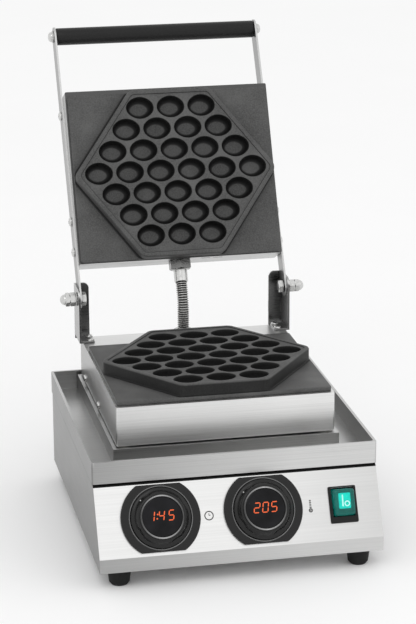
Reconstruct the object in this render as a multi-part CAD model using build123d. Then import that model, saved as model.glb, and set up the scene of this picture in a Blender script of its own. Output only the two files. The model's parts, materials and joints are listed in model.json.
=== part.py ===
"""Bubble waffle maker: a table-top iron with two cast plates of oval cells.

Millimetres, +Z up, +X to the machine's right, +Y to its back.  Heights count from the
surface it stands on.  While modelling, Y counts from the middle of the cell pattern, and
write() moves everything so that the footprint is centred.  The lid is drawn closed and
then swung open about its two pivot bolts, which is how the machine is shown.
"""
from build123d import *
from math import atan2, cos, pi, radians, sin, sqrt, tan
import os

# Cell pattern, shared by both plates
CELL_PITCH = 34.0
ROW_PITCH = 23.56
CELL_LENGTH = 30.3
CELL_WIDTH = 24.2
CELL_DEPTH = 11.5
CELL_END_R = 9.5  # radius of a cell's round ends
CELL_BANDS = ((0.60, 9.0), (0.28, 40.0), (0.12, 70.0))  # share of the depth, lean in degrees
ROW_COUNTS = (3, 4, 5, 6, 5, 4, 3)

# Cast plates
PLATE_W = 221.0
PLATE_FRONT = -90.8
PLATE_REAR = 94.2
PLATE_T = 4.4
PLATE_CORNER = 3.0
BLOCK_H = 13.3
BLOCK_W = 224.0  # over the side corners before they are rounded
BLOCK_FLAT_W = 89.0
BLOCK_CORNER = 11.0
FIELD_BORDER = 5.0
FIELD_DROP = 0.8
PLATE_GAP = 0.5

# Levels above the table
FOOT_H = 18.0
BODY_BAND_TOP = 32.6
PANEL_TOP = 96.7
TRAY_BAND_BOTTOM = 98.6
TRAY_TOP = 121.4
TRAY_FLOOR = 101.0
PLINTH_TOP = 118.5
MATE_Z = 178.5

# Body, tray and housings, in plan
BODY_W = 287.6
BODY_FRONT = -174.8
PANEL_TOP_Y = -140.7
TRAY_W = 289.6
TRAY_FRONT = -140.4
TRAY_REAR = 147.9
TRAY_CORNER = 2.5
HOUSING_W = 225.0
HOUSING_FRONT = -95.9
HOUSING_REAR = 140.0
LID_HOUSING_REAR = 95.0
LID_HOUSING_DEPTH = 40.0
LID_HOUSING_EDGE = 5.0
PLINTH_MARGIN = 4.0
SHEET = 1.0
TRAY_SHEET = 0.8
SEAM = 0.1
WASHER_T = 1.5

# Hinge and handle
HINGE_Y = 130.9
HINGE_Z = 207.4
LID_OPEN = 115.5
ARM_T = 2.0
ARM_W = 21.0
HANDLE_Y = -168.3
HANDLE_Z = 233.6
GRIP_D = 19.0
ROD_D = 8.0
BRACKET_T = 2.0
BRACKET_TOP = 219.4
BRACKET_FRONT = 117.0
BRACKET_FOOT_W = 17.0
BRACKET_FLANGE_W = 16.0
PIVOT_D = 8.0
NUT_AF = 13.0
NUT_H = 6.5
HEAD_H = 5.3
DOME_H = 10.5
PIVOT_WASHER_T = 1.6
SIDE_GAP = 0.15
RUN_FIT = 0.05
LOOSE_FIT = 0.3
HEAD_SHARE = 1.2  # height of a screw head over its shank radius
M3_R = 1.5
M4_R = 2.0
M5_R = 2.5
THREAD_BITE = 3.0  # how far a screw reaches past the sheets that it holds

# Controls on the sloped panel; offsets run down the slope from its top edge
KNOB_X = (-79.9, 23.8)
KNOB_DROP = 36.0
ESCUTCHEON_R = 40.0
ESCUTCHEON_FLAT = 33.5
ESCUTCHEON_T = 3.2
BARREL_R = 21.2
BARREL_H = 12.8
WINDOW_R = 20.0
KNOB_R = 30.2
KNOB_TOP = 11.8
SWITCH_X = 105.7
SWITCH_DROP = 37.3
SWITCH_W = 28.4
SWITCH_L = 37.0
ROCKER_W = 22.0
ROCKER_L = 27.0
ROCKER_UP = 2.5
ROCKER_TILT = 8.0

# Conduit between deck and lid
HOSE_D = 13.0
HOSE_BORE = 9.2
RIB_PITCH = 2.2
RIB_H = 0.8
CONDUIT_LID_Z = 210.5
LID_FITTING_L = 24.0
LID_FITTING_NUT = 10.0
DECK_FITTING_H = 6.5
DECK_FITTING_NUT = 5.0
CONDUIT_Y = 129.0

# Feet
FOOT_TOP_D = 24.0
FOOT_BOTTOM_D = 20.5
FOOT_X = 122.0
FOOT_FRONT_Y = -158.0
FOOT_REAR_Y = 126.0
FOOT_BORE_R = 5.5
FOOT_BORE_H = 7.0
FOOT_NUT_H = 4.0

# Worked-out places
HOUSING_TOP = MATE_Z - BLOCK_H - PLATE_T
HOUSING_BOTTOM = PLINTH_TOP + WASHER_T
PLATE_MID_Y = (PLATE_FRONT + PLATE_REAR) / 2
PANEL_FALL = PANEL_TOP - BODY_BAND_TOP
PANEL_RUN = PANEL_TOP_Y - BODY_FRONT
PANEL_LENGTH = sqrt(PANEL_FALL**2 + PANEL_RUN**2)
PANEL_OUT = Vector(0, -PANEL_FALL / PANEL_LENGTH, PANEL_RUN / PANEL_LENGTH)
PANEL_DOWN = Vector(0, -PANEL_RUN / PANEL_LENGTH, -PANEL_FALL / PANEL_LENGTH)
HINGE_AXIS = Axis((0, HINGE_Y, HINGE_Z), (1, 0, 0))
OPEN_RAD = radians(-LID_OPEN)
ARM_IN = HOUSING_W / 2
ARM_OUT = ARM_IN + ARM_T
BRACKET_IN = ARM_OUT + SIDE_GAP
BRACKET_OUT = BRACKET_IN + BRACKET_T
ARM_ANGLE = Vector(0, HANDLE_Y - HINGE_Y, HANDLE_Z - HINGE_Z)
TRAY_IN = TRAY_W / 2 - 2 * TRAY_SHEET - 2 * SEAM - SHEET


def opened_point(y, z):
    """Where a point of the closed lid lies when the lid is open."""
    dy = y - HINGE_Y
    dz = z - HINGE_Z
    return (HINGE_Y + dy * cos(OPEN_RAD) - dz * sin(OPEN_RAD),
            HINGE_Z + dy * sin(OPEN_RAD) + dz * cos(OPEN_RAD))


HANDLE_OPEN = opened_point(HANDLE_Y, HANDLE_Z)
ARM_RUN = (HANDLE_OPEN[0] - HINGE_Y) / (HANDLE_OPEN[1] - HINGE_Z)
ARM_REAR = ARM_W / 2 * sqrt(1 + ARM_RUN**2)
FLANGE_Y = HINGE_Y + (BRACKET_TOP - HINGE_Z) * ARM_RUN + ARM_REAR + LOOSE_FIT
KNOB_LOW = KNOB_DROP + KNOB_R
FRONT_Y = PANEL_TOP_Y + KNOB_LOW * PANEL_DOWN.Y + ESCUTCHEON_T * PANEL_OUT.Y
REAR_Y = HANDLE_OPEN[0] + ARM_W / 2
MID_Y = (FRONT_Y + REAR_Y) / 2


def block(x0, x1, y0, y1, z0, z1):
    """A box given by its faces."""
    return Pos((x0 + x1) / 2, (y0 + y1) / 2, (z0 + z1) / 2) * Box(x1 - x0, y1 - y0, z1 - z0)


def rounded_block(x0, x1, y0, y1, z0, z1, radius):
    """A box with rounded upright edges."""
    face = Pos((x0 + x1) / 2, (y0 + y1) / 2, z0) * RectangleRounded(x1 - x0, y1 - y0, radius)
    return extrude(face, amount=z1 - z0, dir=(0, 0, 1))


def rod(start, end, radius):
    """A round bar between two points."""
    a = Vector(start)
    b = Vector(end)
    return extrude(Plane(origin=a, z_dir=b - a) * Circle(radius), amount=(b - a).length)


def hex_bar(start, end, across_flats):
    """A hexagonal bar between two points."""
    a = Vector(start)
    b = Vector(end)
    outline = RegularPolygon(across_flats / sqrt(3), 6)
    return extrude(Plane(origin=a, z_dir=b - a) * outline, amount=(b - a).length)


def along_x(x0, x1, y, z, radius):
    """A round bar along X."""
    return rod((x0, y, z), (x1, y, z), radius)


def upright(x, y, z0, z1, radius):
    """An upright round bar."""
    return rod((x, y, z0), (x, y, z1), radius)


def eased_end(bar, tip, size):
    """A round bar with the rim of its end at tip cut back."""
    rims = bar.edges().filter_by(GeomType.CIRCLE)
    return chamfer(rims.sort_by_distance(Vector(tip))[:1], size)


def pan_screw(seat, into, shank_r, length):
    """A screw whose round head sits on seat and whose shank points along into."""
    s = Vector(seat)
    d = Vector(into).normalized()
    head = rod(s, s - d * HEAD_SHARE * shank_r, 2 * shank_r)
    return head + rod(s, s + d * length, shank_r)


def opened(shape):
    """The closed lid's shape swung open."""
    return shape.rotate(HINGE_AXIS, -LID_OPEN)


def group(solids):
    """Separate solids of one kind as one node."""
    return Compound(list(solids))


def panel_plane(x, drop):
    """A plane on the sloped panel, its Y up the slope and its Z straight out."""
    origin = Vector(x, PANEL_TOP_Y, PANEL_TOP) + PANEL_DOWN * drop
    return Plane(origin=origin, x_dir=(1, 0, 0), z_dir=PANEL_OUT)


# Cast plates

def hexagon(inset, radius):
    """The hexagonal outline of the raised block, its side corners on the machine's X axis."""
    half_y = (PLATE_REAR - PLATE_FRONT) / 2
    slope = atan2(half_y, (BLOCK_W - BLOCK_FLAT_W) / 2)
    half_x = BLOCK_W / 2 - inset / sin(slope)
    flat = BLOCK_FLAT_W / 2 - inset * tan(slope / 2)
    points = [(half_x, 0), (flat, half_y - inset), (-flat, half_y - inset)]
    points += [(-x, -y) for x, y in points]
    outline = make_face(Polyline(*points, close=True))
    return Pos(0, PLATE_MID_Y) * fillet(outline.vertices(), radius)


def cell_centres():
    """Centres of the cells: offset rows, as eggs pack in a tray."""
    middle = (len(ROW_COUNTS) - 1) / 2
    for row, count in enumerate(ROW_COUNTS):
        for place in range(count):
            yield ((place - (count - 1) / 2) * CELL_PITCH, (row - middle) * ROW_PITCH)


def oval(inset):
    """A cell's outline as four tangent arcs, drawn in by inset."""
    a = CELL_LENGTH / 2 - inset
    b = CELL_WIDTH / 2 - inset
    end_r = CELL_END_R - inset
    reach = CELL_LENGTH / 2 - CELL_END_R
    side_r = (reach**2 + b**2 - end_r**2) / (2 * (b - end_r))
    turn = atan2(reach, side_r - b)
    x = reach + end_r * sin(turn)
    y = end_r * cos(turn)
    edges = []
    for side in (-1, 1):
        edges.append(ThreePointArc((-x, side * y), (0, side * b), (x, side * y)))
        edges.append(ThreePointArc((side * x, -y), (side * a, 0), (side * x, y)))
    return make_face(edges)


def cell_cutter(top):
    """One oval cell: a steep wall, a shoulder and a shallow bowl."""
    cutter = extrude(oval(0), amount=FIELD_DROP, dir=(0, 0, 1))
    depth = 0
    inset = 0
    for share, lean in CELL_BANDS:
        height = share * CELL_DEPTH
        band = extrude(oval(inset), amount=height, dir=(0, 0, -1), taper=lean)
        cutter += Pos(0, 0, -depth) * band
        depth += height
        inset += height * tan(radians(lean))
    return Pos(0, 0, top) * cutter


def baking_plate():
    """The lower plate, cells up: base slab, hexagonal block, sunk field and cells."""
    slab = rounded_block(-PLATE_W / 2, PLATE_W / 2, PLATE_FRONT, PLATE_REAR,
                         HOUSING_TOP, MATE_Z - BLOCK_H, PLATE_CORNER)
    raised = extrude(Pos(0, 0, MATE_Z - BLOCK_H) * hexagon(0, BLOCK_CORNER), amount=BLOCK_H)
    plate = slab + raised
    field = MATE_Z - FIELD_DROP
    plate -= extrude(Pos(0, 0, field) * hexagon(FIELD_BORDER, BLOCK_CORNER - FIELD_BORDER),
                     amount=FIELD_DROP)
    cutter = cell_cutter(field)
    plate -= [Pos(x, y, 0) * cutter for x, y in cell_centres()]
    for x, y in plate_screw_places():
        plate -= upright(x, y, HOUSING_TOP, HOUSING_TOP + 3.2, M4_R + RUN_FIT)
    return plate


PLATE_SCREW_X = 100.0
PLATE_SCREW_Y = (-80.0, 84.0)


def plate_screw_places():
    """The four screws that hold a cast plate from inside its housing."""
    return [(x, y) for x in (-PLATE_SCREW_X, PLATE_SCREW_X) for y in PLATE_SCREW_Y]


def plate_screws():
    """Screws driven into the cast plate through the housing's top sheet."""
    seat = HOUSING_TOP - SHEET
    return group(pan_screw((x, y, seat), (0, 0, 1), M4_R, SHEET + THREAD_BITE)
                 for x, y in plate_screw_places())


def mirrored_up(shape):
    """A piece of the lower iron turned over to serve in the closed lid."""
    return Pos(0, 0, PLATE_GAP) * mirror(shape, Plane.XY.offset(MATE_Z))


# Heating elements and probes

ELEMENT_R = 4.0
ELEMENT_Z = HOUSING_TOP - ELEMENT_R - LOOSE_FIT
ELEMENT_HALF_X = 84.0
ELEMENT_HALF_Y = 40.0
ELEMENT_BEND = 25.0
OPENING_X = 92.0
OPENING_Y = 70.0


def heating_element():
    """A tubular heater bent into a hairpin under the cells."""
    near = PLATE_MID_Y - ELEMENT_HALF_Y
    far = PLATE_MID_Y + ELEMENT_HALF_Y
    points = [(ELEMENT_HALF_X, near), (-ELEMENT_HALF_X, near), (-ELEMENT_HALF_X, far),
              (ELEMENT_HALF_X, far)]
    path = Pos(0, 0, ELEMENT_Z) * FilletPolyline(*points, radius=ELEMENT_BEND)
    start = Plane(origin=path @ 0, z_dir=path % 0)
    return sweep(start * Circle(ELEMENT_R), path=path)


def temperature_probe():
    """The sensor rod that lies against the plate between two heater passes."""
    z = HOUSING_TOP - 2.0 - LOOSE_FIT
    return rod((-30, PLATE_MID_Y, z), (30, PLATE_MID_Y, z), 2.0)


def clamp_bars():
    """Two bars under the heater that press it to the plate, screwed at their ends."""
    z1 = ELEMENT_Z - ELEMENT_R
    bars = []
    for x in (-50.0, 50.0):
        bars.append(block(x - 8, x + 8, PLATE_MID_Y - OPENING_Y - 6,
                          PLATE_MID_Y + OPENING_Y + 6, z1 - 2, z1))
    return group(bars)


# Housings of the two irons

def lower_housing():
    """The folded box that carries the lower plate and, behind it, the hinge deck."""
    box = block(-HOUSING_W / 2, HOUSING_W / 2, HOUSING_FRONT, HOUSING_REAR,
                HOUSING_BOTTOM, HOUSING_TOP)
    box = fillet(box.edges().filter_by(Axis.Z), 1.5)
    box -= block(-HOUSING_W / 2 + SHEET, HOUSING_W / 2 - SHEET, HOUSING_FRONT + SHEET,
                 HOUSING_REAR - SHEET, HOUSING_BOTTOM + SHEET, HOUSING_TOP - SHEET)
    box -= block(-HOUSING_W / 2 + 14, HOUSING_W / 2 - 14, HOUSING_FRONT + 14,
                 HOUSING_REAR - 14, HOUSING_BOTTOM - 1, HOUSING_BOTTOM + 2 * SHEET)
    box -= block(-OPENING_X, OPENING_X, PLATE_MID_Y - OPENING_Y, PLATE_MID_Y + OPENING_Y,
                 HOUSING_TOP - 2, HOUSING_TOP + 1)
    for x, y in plate_screw_places():
        box -= upright(x, y, HOUSING_TOP - 2, HOUSING_TOP + 1, M4_R + RUN_FIT)
    for x, y in washer_places():
        box -= upright(x, y, HOUSING_BOTTOM - 1, HOUSING_BOTTOM + 2, M4_R + RUN_FIT)
    for side in (-1, 1):
        for y in BRACKET_SCREW_Y:
            box -= upright(side * BRACKET_SCREW_X, y, HOUSING_TOP - 2, HOUSING_TOP + 1,
                           M4_R + RUN_FIT)
        for y in HOUSING_SCREW_Y:
            box -= along_x(side * (HOUSING_W / 2 - 2), side * (HOUSING_W / 2 + 1), y,
                           HOUSING_SCREW_Z, M4_R + RUN_FIT)
    box -= upright(0, CONDUIT_Y, HOUSING_TOP - 2, HOUSING_TOP + 1, THREAD_R + RUN_FIT)
    return box


def lid_housing():
    """The lid's box, closed: its outer edges are folded round, its mouth faces down."""
    z0 = MATE_Z + PLATE_GAP + BLOCK_H + PLATE_T
    z1 = z0 + LID_HOUSING_DEPTH
    box = block(-HOUSING_W / 2, HOUSING_W / 2, HOUSING_FRONT, LID_HOUSING_REAR, z0, z1)
    box = fillet(box.edges().filter_by(Axis.Z), 1.5)
    box = fillet(box.faces().sort_by(Axis.Z)[-1].edges(), LID_HOUSING_EDGE)
    cavity = block(-HOUSING_W / 2 + SHEET, HOUSING_W / 2 - SHEET, HOUSING_FRONT + SHEET,
                   LID_HOUSING_REAR - SHEET, z0 + SHEET, z1 - SHEET)
    cavity = fillet(cavity.faces().sort_by(Axis.Z)[-1].edges(), LID_HOUSING_EDGE - SHEET)
    box -= cavity
    box -= block(-OPENING_X, OPENING_X, PLATE_MID_Y - OPENING_Y, PLATE_MID_Y + OPENING_Y,
                 z0 - 1, z0 + 2)
    for x, y in plate_screw_places():
        box -= upright(x, y, z0 - 1, z0 + 2, M4_R + RUN_FIT)
    box -= rod((0, LID_HOUSING_REAR - 2, CONDUIT_LID_Z), (0, LID_HOUSING_REAR + 1, CONDUIT_LID_Z),
               THREAD_R + RUN_FIT)
    for side in (-1, 1):
        for y, z in arm_screw_places():
            box -= along_x(side * (ARM_IN - 2), side * (ARM_IN + 1), y, z, M5_R + RUN_FIT)
    vent_z = z0 + 6
    for x in LID_VENT_X:
        slot = block(x - 5, x + 5, LID_HOUSING_REAR - 2, LID_HOUSING_REAR + 1, vent_z, vent_z + 2)
        box -= slot
    return box


WASHER_X = 104.0
WASHER_Y = (-86.0, 22.0, 130.0)
HOUSING_SCREW_Y = (14.6, 104.0)
HOUSING_SCREW_Z = 125.5
LID_VENT_X = (28.0, 42.0)
THREAD_R = 7.0


def washer_places():
    """Where the lower housing stands on its insulating washers."""
    return [(x, y) for x in (-WASHER_X, WASHER_X) for y in WASHER_Y]


def insulating_washers():
    """Ceramic washers that keep the hot housing off the tray."""
    return group(upright(x, y, PLINTH_TOP, HOUSING_BOTTOM, 6.0)
                 - upright(x, y, PLINTH_TOP - 1, HOUSING_BOTTOM + 1, M4_R + RUN_FIT)
                 for x, y in washer_places())


def washer_screws():
    """Screws from inside the housing down through washer and tray."""
    return group(pan_screw((x, y, HOUSING_BOTTOM + SHEET), (0, 0, -1), M4_R,
                           SHEET + WASHER_T + TRAY_SHEET + THREAD_BITE)
                 for x, y in washer_places())


def housing_screws():
    """Pan-head screws low on the sides of the lower housing."""
    screws = []
    for side in (-1, 1):
        for y in HOUSING_SCREW_Y:
            seat = (side * HOUSING_W / 2, y, HOUSING_SCREW_Z)
            screws.append(pan_screw(seat, (-side, 0, 0), M4_R, SHEET + THREAD_BITE))
    return group(screws)


# Drip tray

def drip_tray():
    """One pressed sheet: outer band, folded rim, inner wall, gutter floor and plinth."""
    half = TRAY_W / 2
    wall = 2 * TRAY_SHEET + 2 * SEAM + SHEET
    tray = rounded_block(-half, half, TRAY_FRONT, TRAY_REAR, TRAY_BAND_BOTTOM, TRAY_TOP,
                         TRAY_CORNER)
    tray -= rounded_block(-half + wall, half - wall, TRAY_FRONT + wall, TRAY_REAR - wall,
                          TRAY_FLOOR, TRAY_TOP + 1, TRAY_CORNER)
    slot = TRAY_SHEET
    under = block(-half + slot, half - slot, TRAY_FRONT + slot, TRAY_REAR - slot,
                  TRAY_BAND_BOTTOM - 1, TRAY_TOP - TRAY_SHEET)
    core_in = wall - TRAY_SHEET
    under -= block(-half + core_in, half - core_in, TRAY_FRONT + core_in, TRAY_REAR - core_in,
                   TRAY_FLOOR - TRAY_SHEET, TRAY_TOP)
    tray -= under
    plinth_w = HOUSING_W / 2 + PLINTH_MARGIN
    plinth_y0 = HOUSING_FRONT - PLINTH_MARGIN
    plinth = block(-plinth_w, plinth_w, plinth_y0, HOUSING_REAR, TRAY_FLOOR - TRAY_SHEET,
                   PLINTH_TOP)
    tray += plinth
    tray -= block(-plinth_w + TRAY_SHEET, plinth_w - TRAY_SHEET, plinth_y0 + TRAY_SHEET,
                  HOUSING_REAR - TRAY_SHEET, TRAY_FLOOR - 2, PLINTH_TOP - TRAY_SHEET)
    tray -= block(-70, 70, -50, 90, PLINTH_TOP - 2, PLINTH_TOP + 1)
    for x, y in washer_places():
        tray -= upright(x, y, PLINTH_TOP - 2, PLINTH_TOP + 1, M4_R + RUN_FIT)
    return tray


# Body

def body_profile(inset):
    """The body's side outline, drawn in by a wall thickness."""
    top_y = TRAY_FRONT + TRAY_SHEET + SEAM
    points = [(BODY_FRONT, FOOT_H), (BODY_FRONT, BODY_BAND_TOP), (PANEL_TOP_Y, PANEL_TOP),
              (top_y, PANEL_TOP), (top_y, TRAY_TOP - TRAY_SHEET - SEAM),
              (TRAY_REAR - TRAY_SHEET - SEAM, TRAY_TOP - TRAY_SHEET - SEAM),
              (TRAY_REAR - TRAY_SHEET - SEAM, FOOT_H)]
    face = make_face(Plane.YZ * Polyline(*points, close=True))
    if inset:
        face = offset(face, -inset, kind=Kind.INTERSECTION)
    return face


BOTTOM_FLANGE = 36.0
GLAND_X = 95.0
GLAND_Z = 44.0
GLAND_R = 8.0
SPIGOT_R = 11.8
VENT_W = 5.0
VENT_PITCH = 16.0
BACK_VENTS = 6
BACK_VENT_X = -70.0
BACK_VENT_L = 40.0
BACK_VENT_Z = 62.0
BOTTOM_VENTS = 9
BOTTOM_VENT_L = 46.0
BOTTOM_VENT_ROWS = (-60.0, 40.0)


def body_housing():
    """The folded body shell: sloped control panel, sides, back and a bottom flange."""
    half = BODY_W / 2
    shell = extrude(body_profile(0), amount=half, both=True)
    shell -= extrude(body_profile(SHEET), amount=half - SHEET, both=True)
    rear = TRAY_REAR - TRAY_SHEET - SEAM
    top_y = TRAY_FRONT + TRAY_SHEET + SEAM + SHEET
    shell -= block(-half + SHEET, half - SHEET, top_y, rear - SHEET, TRAY_TOP - 5, TRAY_TOP + 1)
    shell -= rounded_block(-half + BOTTOM_FLANGE, half - BOTTOM_FLANGE,
                           BODY_FRONT + BOTTOM_FLANGE, rear - BOTTOM_FLANGE,
                           FOOT_H - 1, FOOT_H + SHEET + 1, 8)
    for x in KNOB_X:
        plane = panel_plane(x, KNOB_DROP)
        shell -= extrude(plane * Circle(SPIGOT_R + LOOSE_FIT), amount=4, both=True)
    plane = panel_plane(SWITCH_X, SWITCH_DROP)
    shell -= extrude(plane * Rectangle(SWITCH_W - 3, SWITCH_L - 3), amount=4, both=True)
    for x, y in foot_places():
        shell -= upright(x, y, FOOT_H - 1, FOOT_H + 2, M5_R + RUN_FIT)
    shell -= rod((GLAND_X, rear - 3, GLAND_Z), (GLAND_X, rear + 1, GLAND_Z), GLAND_R + RUN_FIT)
    for i in range(BACK_VENTS):
        shell -= back_slot(BACK_VENT_X + i * VENT_PITCH, rear)
    for x, y in bottom_screw_places():
        shell -= upright(x, y, FOOT_H - 1, FOOT_H + 2, M3_R + RUN_FIT)
    return shell


def back_slot(x, rear):
    """One upright air slot through the back sheet."""
    plane = Plane(origin=(x, rear + 1, BACK_VENT_Z), x_dir=(1, 0, 0), z_dir=(0, -1, 0))
    return extrude(plane * Rectangle(VENT_W, BACK_VENT_L), amount=3 + SHEET)


def bottom_screw_places():
    """Screws that hold the bottom plate to the body's flange."""
    y0 = BODY_FRONT + BOTTOM_FLANGE - 6
    y1 = TRAY_REAR - BOTTOM_FLANGE + 5
    x = BODY_W / 2 - BOTTOM_FLANGE - 20
    return [(-x, y0), (x, y0), (-x, y1), (x, y1)]


def bottom_plate():
    """The vented bottom cover, lying on the body's flange."""
    half = BODY_W / 2 - BOTTOM_FLANGE + 12
    z0 = FOOT_H + SHEET
    plate = rounded_block(-half, half, BODY_FRONT + BOTTOM_FLANGE - 12,
                          TRAY_REAR - BOTTOM_FLANGE + 11, z0, z0 + SHEET, 6)
    for row in BOTTOM_VENT_ROWS:
        for i in range(BOTTOM_VENTS):
            x = (i - (BOTTOM_VENTS - 1) / 2) * VENT_PITCH
            slot = Pos(x, row, z0 - 1) * Rectangle(VENT_W, BOTTOM_VENT_L)
            plate -= extrude(slot, amount=2 + SHEET)
    for x, y in bottom_screw_places():
        plate -= upright(x, y, z0 - 1, z0 + 2, M3_R + RUN_FIT)
    return plate


def bottom_screws():
    """Screws up through the flange into the bottom plate."""
    return group(pan_screw((x, y, FOOT_H), (0, 0, 1), M3_R, 2 * SHEET + THREAD_BITE)
                 for x, y in bottom_screw_places())


def foot_places():
    """Centres of the four feet."""
    return [(x, y) for y in (FOOT_FRONT_Y, FOOT_REAR_Y) for x in (-FOOT_X, FOOT_X)]


def foot(x, y):
    """One rubber foot: tapered, rounded at the sole and bored for its screw."""
    hole = M5_R + 2 * RUN_FIT
    profile = make_face(Plane.XZ * Polyline(
        (hole, FOOT_BORE_H), (hole, FOOT_H), (FOOT_TOP_D / 2, FOOT_H),
        (FOOT_TOP_D / 2, FOOT_H - 3.5),
        (FOOT_BOTTOM_D / 2, 2.5), (FOOT_BOTTOM_D / 2 - 2, 0),
        (FOOT_BORE_R, 0), (FOOT_BORE_R, FOOT_BORE_H), close=True))
    return Pos(x, y, 0) * revolve(profile, Axis.Z)


def foot_screws():
    """Screws up through each foot, with the nut inside the body."""
    parts = []
    for x, y in foot_places():
        parts.append(pan_screw((x, y, FOOT_BORE_H), (0, 0, 1), M5_R,
                               FOOT_H + SHEET + FOOT_NUT_H + 1 - FOOT_BORE_H))
        nut = hex_bar((x, y, FOOT_H + SHEET), (x, y, FOOT_H + SHEET + FOOT_NUT_H), 8.0)
        parts.append(nut - upright(x, y, FOOT_H, FOOT_H + 8, M5_R + RUN_FIT))
    return group(parts)


def cable_gland():
    """The mains gland at the back: threaded tube, outer hexagon, dome and inner nut."""
    rear = TRAY_REAR - TRAY_SHEET - SEAM
    def at(y):
        return (GLAND_X, y, GLAND_Z)
    gland = hex_bar(at(rear), at(rear + 5), 20.0)
    gland += rod(at(rear - 9), at(rear), GLAND_R)
    dome = rod(at(rear + 5), at(rear + 14), 9.0)
    gland += eased_end(dome, at(rear + 14), 3.0)
    gland += hex_bar(at(rear - SHEET - 4), at(rear - SHEET), 20.0)
    return gland - rod(at(rear - 10), at(rear + 15), 4.5)


# Controls

def escutcheon(x):
    """Fixed black surround of a knob, with the barrel that the knob turns on."""
    plane = panel_plane(x, KNOB_DROP)
    outline = Circle(ESCUTCHEON_R) & Rectangle(3 * ESCUTCHEON_R, 2 * ESCUTCHEON_FLAT)
    base = extrude(outline, amount=ESCUTCHEON_T)
    base = chamfer(base.faces().sort_by(Axis.Z)[-1].edges(), 0.9)
    groove_r = KNOB_R + 2 * LOOSE_FIT
    base -= Pos(0, 0, 1.2) * extrude(Circle(groove_r) - Circle(BARREL_R), amount=4)
    base += extrude(Circle(BARREL_R), amount=BARREL_H - 0.8)
    lip = Pos(0, 0, BARREL_H - 0.8) * extrude(Circle(BARREL_R + 1.2), amount=0.8)
    base += lip
    base -= Pos(0, 0, 2.0) * extrude(Circle(WINDOW_R), amount=BARREL_H)
    base += extrude(Circle(SPIGOT_R), amount=-6)
    base -= extrude(Circle(8.3), amount=8, both=True)
    return plane * base


def knob_ring(x):
    """The turning ring round the display: a low flange, a neck and a coned crown."""
    inner = BARREL_R + RUN_FIT
    profile = make_face(Plane.XZ * Polyline(
        (inner, 1.5), (KNOB_R, 1.5), (KNOB_R, 4.6), (KNOB_R - 1.2, 5.6), (KNOB_R - 2.6, 5.6),
        (KNOB_R - 5.4, KNOB_TOP - 1.2), (KNOB_R - 6.6, KNOB_TOP), (inner, KNOB_TOP), close=True))
    ring = revolve(profile, Axis.Z)
    for k in range(4):
        notch = Rot(0, 0, 20 + 90 * k) * Pos(KNOB_R, 0, 4.6) * Box(3.0, 9.0, 3.0)
        ring -= notch
    return panel_plane(x, KNOB_DROP) * ring


def display_module(x):
    """Encoder and display: round board, digit block, stem and the board behind."""
    body = Pos(0, 0, 2.0) * extrude(Circle(WINDOW_R - LOOSE_FIT), amount=1.6)
    body += Pos(0, 0, 6.8) * Box(30, 14, 6.6)
    body += Pos(0, 0, -7.5) * extrude(Circle(8.0), amount=10)
    body += Pos(0, 0, -8) * Box(44, 44, 1.6)
    return panel_plane(x, KNOB_DROP) * body


def window(x):
    """The dark clear disc over the digits, let into the barrel."""
    disc = Pos(0, 0, BARREL_H - 2.2) * extrude(Circle(WINDOW_R - RUN_FIT), amount=1.6)
    return panel_plane(x, KNOB_DROP) * disc


SWITCH_BODY_DEPTH = 18.0
ROCKER_PIN_R = 1.5
ROCKER_PIN_L = 1.0
ROCKER_PIN_Z = -2.0


def switch_bezel():
    """The fixed frame and case of the mains switch."""
    frame = extrude(RectangleRounded(SWITCH_W, SWITCH_L, 1.5), amount=2.0)
    frame = chamfer(frame.faces().sort_by(Axis.Z)[-1].edges(), 0.6)
    case = extrude(Rectangle(SWITCH_W - 3.4, SWITCH_L - 3.4), amount=-SWITCH_BODY_DEPTH)
    frame += case
    mouth = Rectangle(ROCKER_W + 2 * LOOSE_FIT, ROCKER_L + 2.4)
    frame -= Pos(0, ROCKER_UP, -9) * extrude(mouth, amount=12)
    pin = along_x(-ROCKER_W / 2 - ROCKER_PIN_L - SIDE_GAP, ROCKER_W / 2 + ROCKER_PIN_L + SIDE_GAP, ROCKER_UP,
                  ROCKER_PIN_Z, ROCKER_PIN_R + RUN_FIT)
    frame -= pin
    return panel_plane(SWITCH_X, SWITCH_DROP) * frame


def power_rocker():
    """The lit rocker in its soft cover, on two small pins, shown switched on."""
    outline = make_face(Plane.YZ * Polyline(
        (-ROCKER_L / 2, -3.0), (-ROCKER_L / 2, 4.6), (-3.0, 3.4), (3.0, 3.4),
        (ROCKER_L / 2, 4.6), (ROCKER_L / 2, -3.0), (3.0, -5.5), (-3.0, -5.5), close=True))
    rocker = extrude(outline, amount=ROCKER_W / 2, both=True)
    top_edges = rocker.edges().filter_by(Axis.X).sort_by(Axis.Z)[-2:]
    rocker = fillet(top_edges, 2.5)
    rocker += along_x(-ROCKER_W / 2 - ROCKER_PIN_L, ROCKER_W / 2 + ROCKER_PIN_L, 0, ROCKER_PIN_Z,
                      ROCKER_PIN_R)
    rocker = rocker.rotate(Axis((0, 0, ROCKER_PIN_Z), (1, 0, 0)), ROCKER_TILT)
    return panel_plane(SWITCH_X, SWITCH_DROP) * Pos(0, ROCKER_UP, 0) * rocker


# Electrics inside the body

def control_board():
    """Printed board on four pillars, with relay and transformer."""
    z = FOOT_H + 2 * SHEET
    board = block(-60, 20, -70, -10, z + 8, z + 9.6)
    board += block(-50, -20, -60, -35, z + 9.6, z + 29)
    board += block(-8, 8, -60, -40, z + 9.6, z + 25)
    for x in (-54, 14):
        for y in (-64, -16):
            board += upright(x, y, z, z + 8, 3.0)
    return board


def terminal_block():
    """Ceramic terminal block behind the gland."""
    z = FOOT_H + 2 * SHEET
    body = block(40, 90, 60, 84, z, z + 18)
    for i in range(4):
        x = 47 + 12 * i
        body -= upright(x, 66, z + 8, z + 19, 2.5)
        body -= upright(x, 78, z + 8, z + 19, 2.5)
    return body


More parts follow.
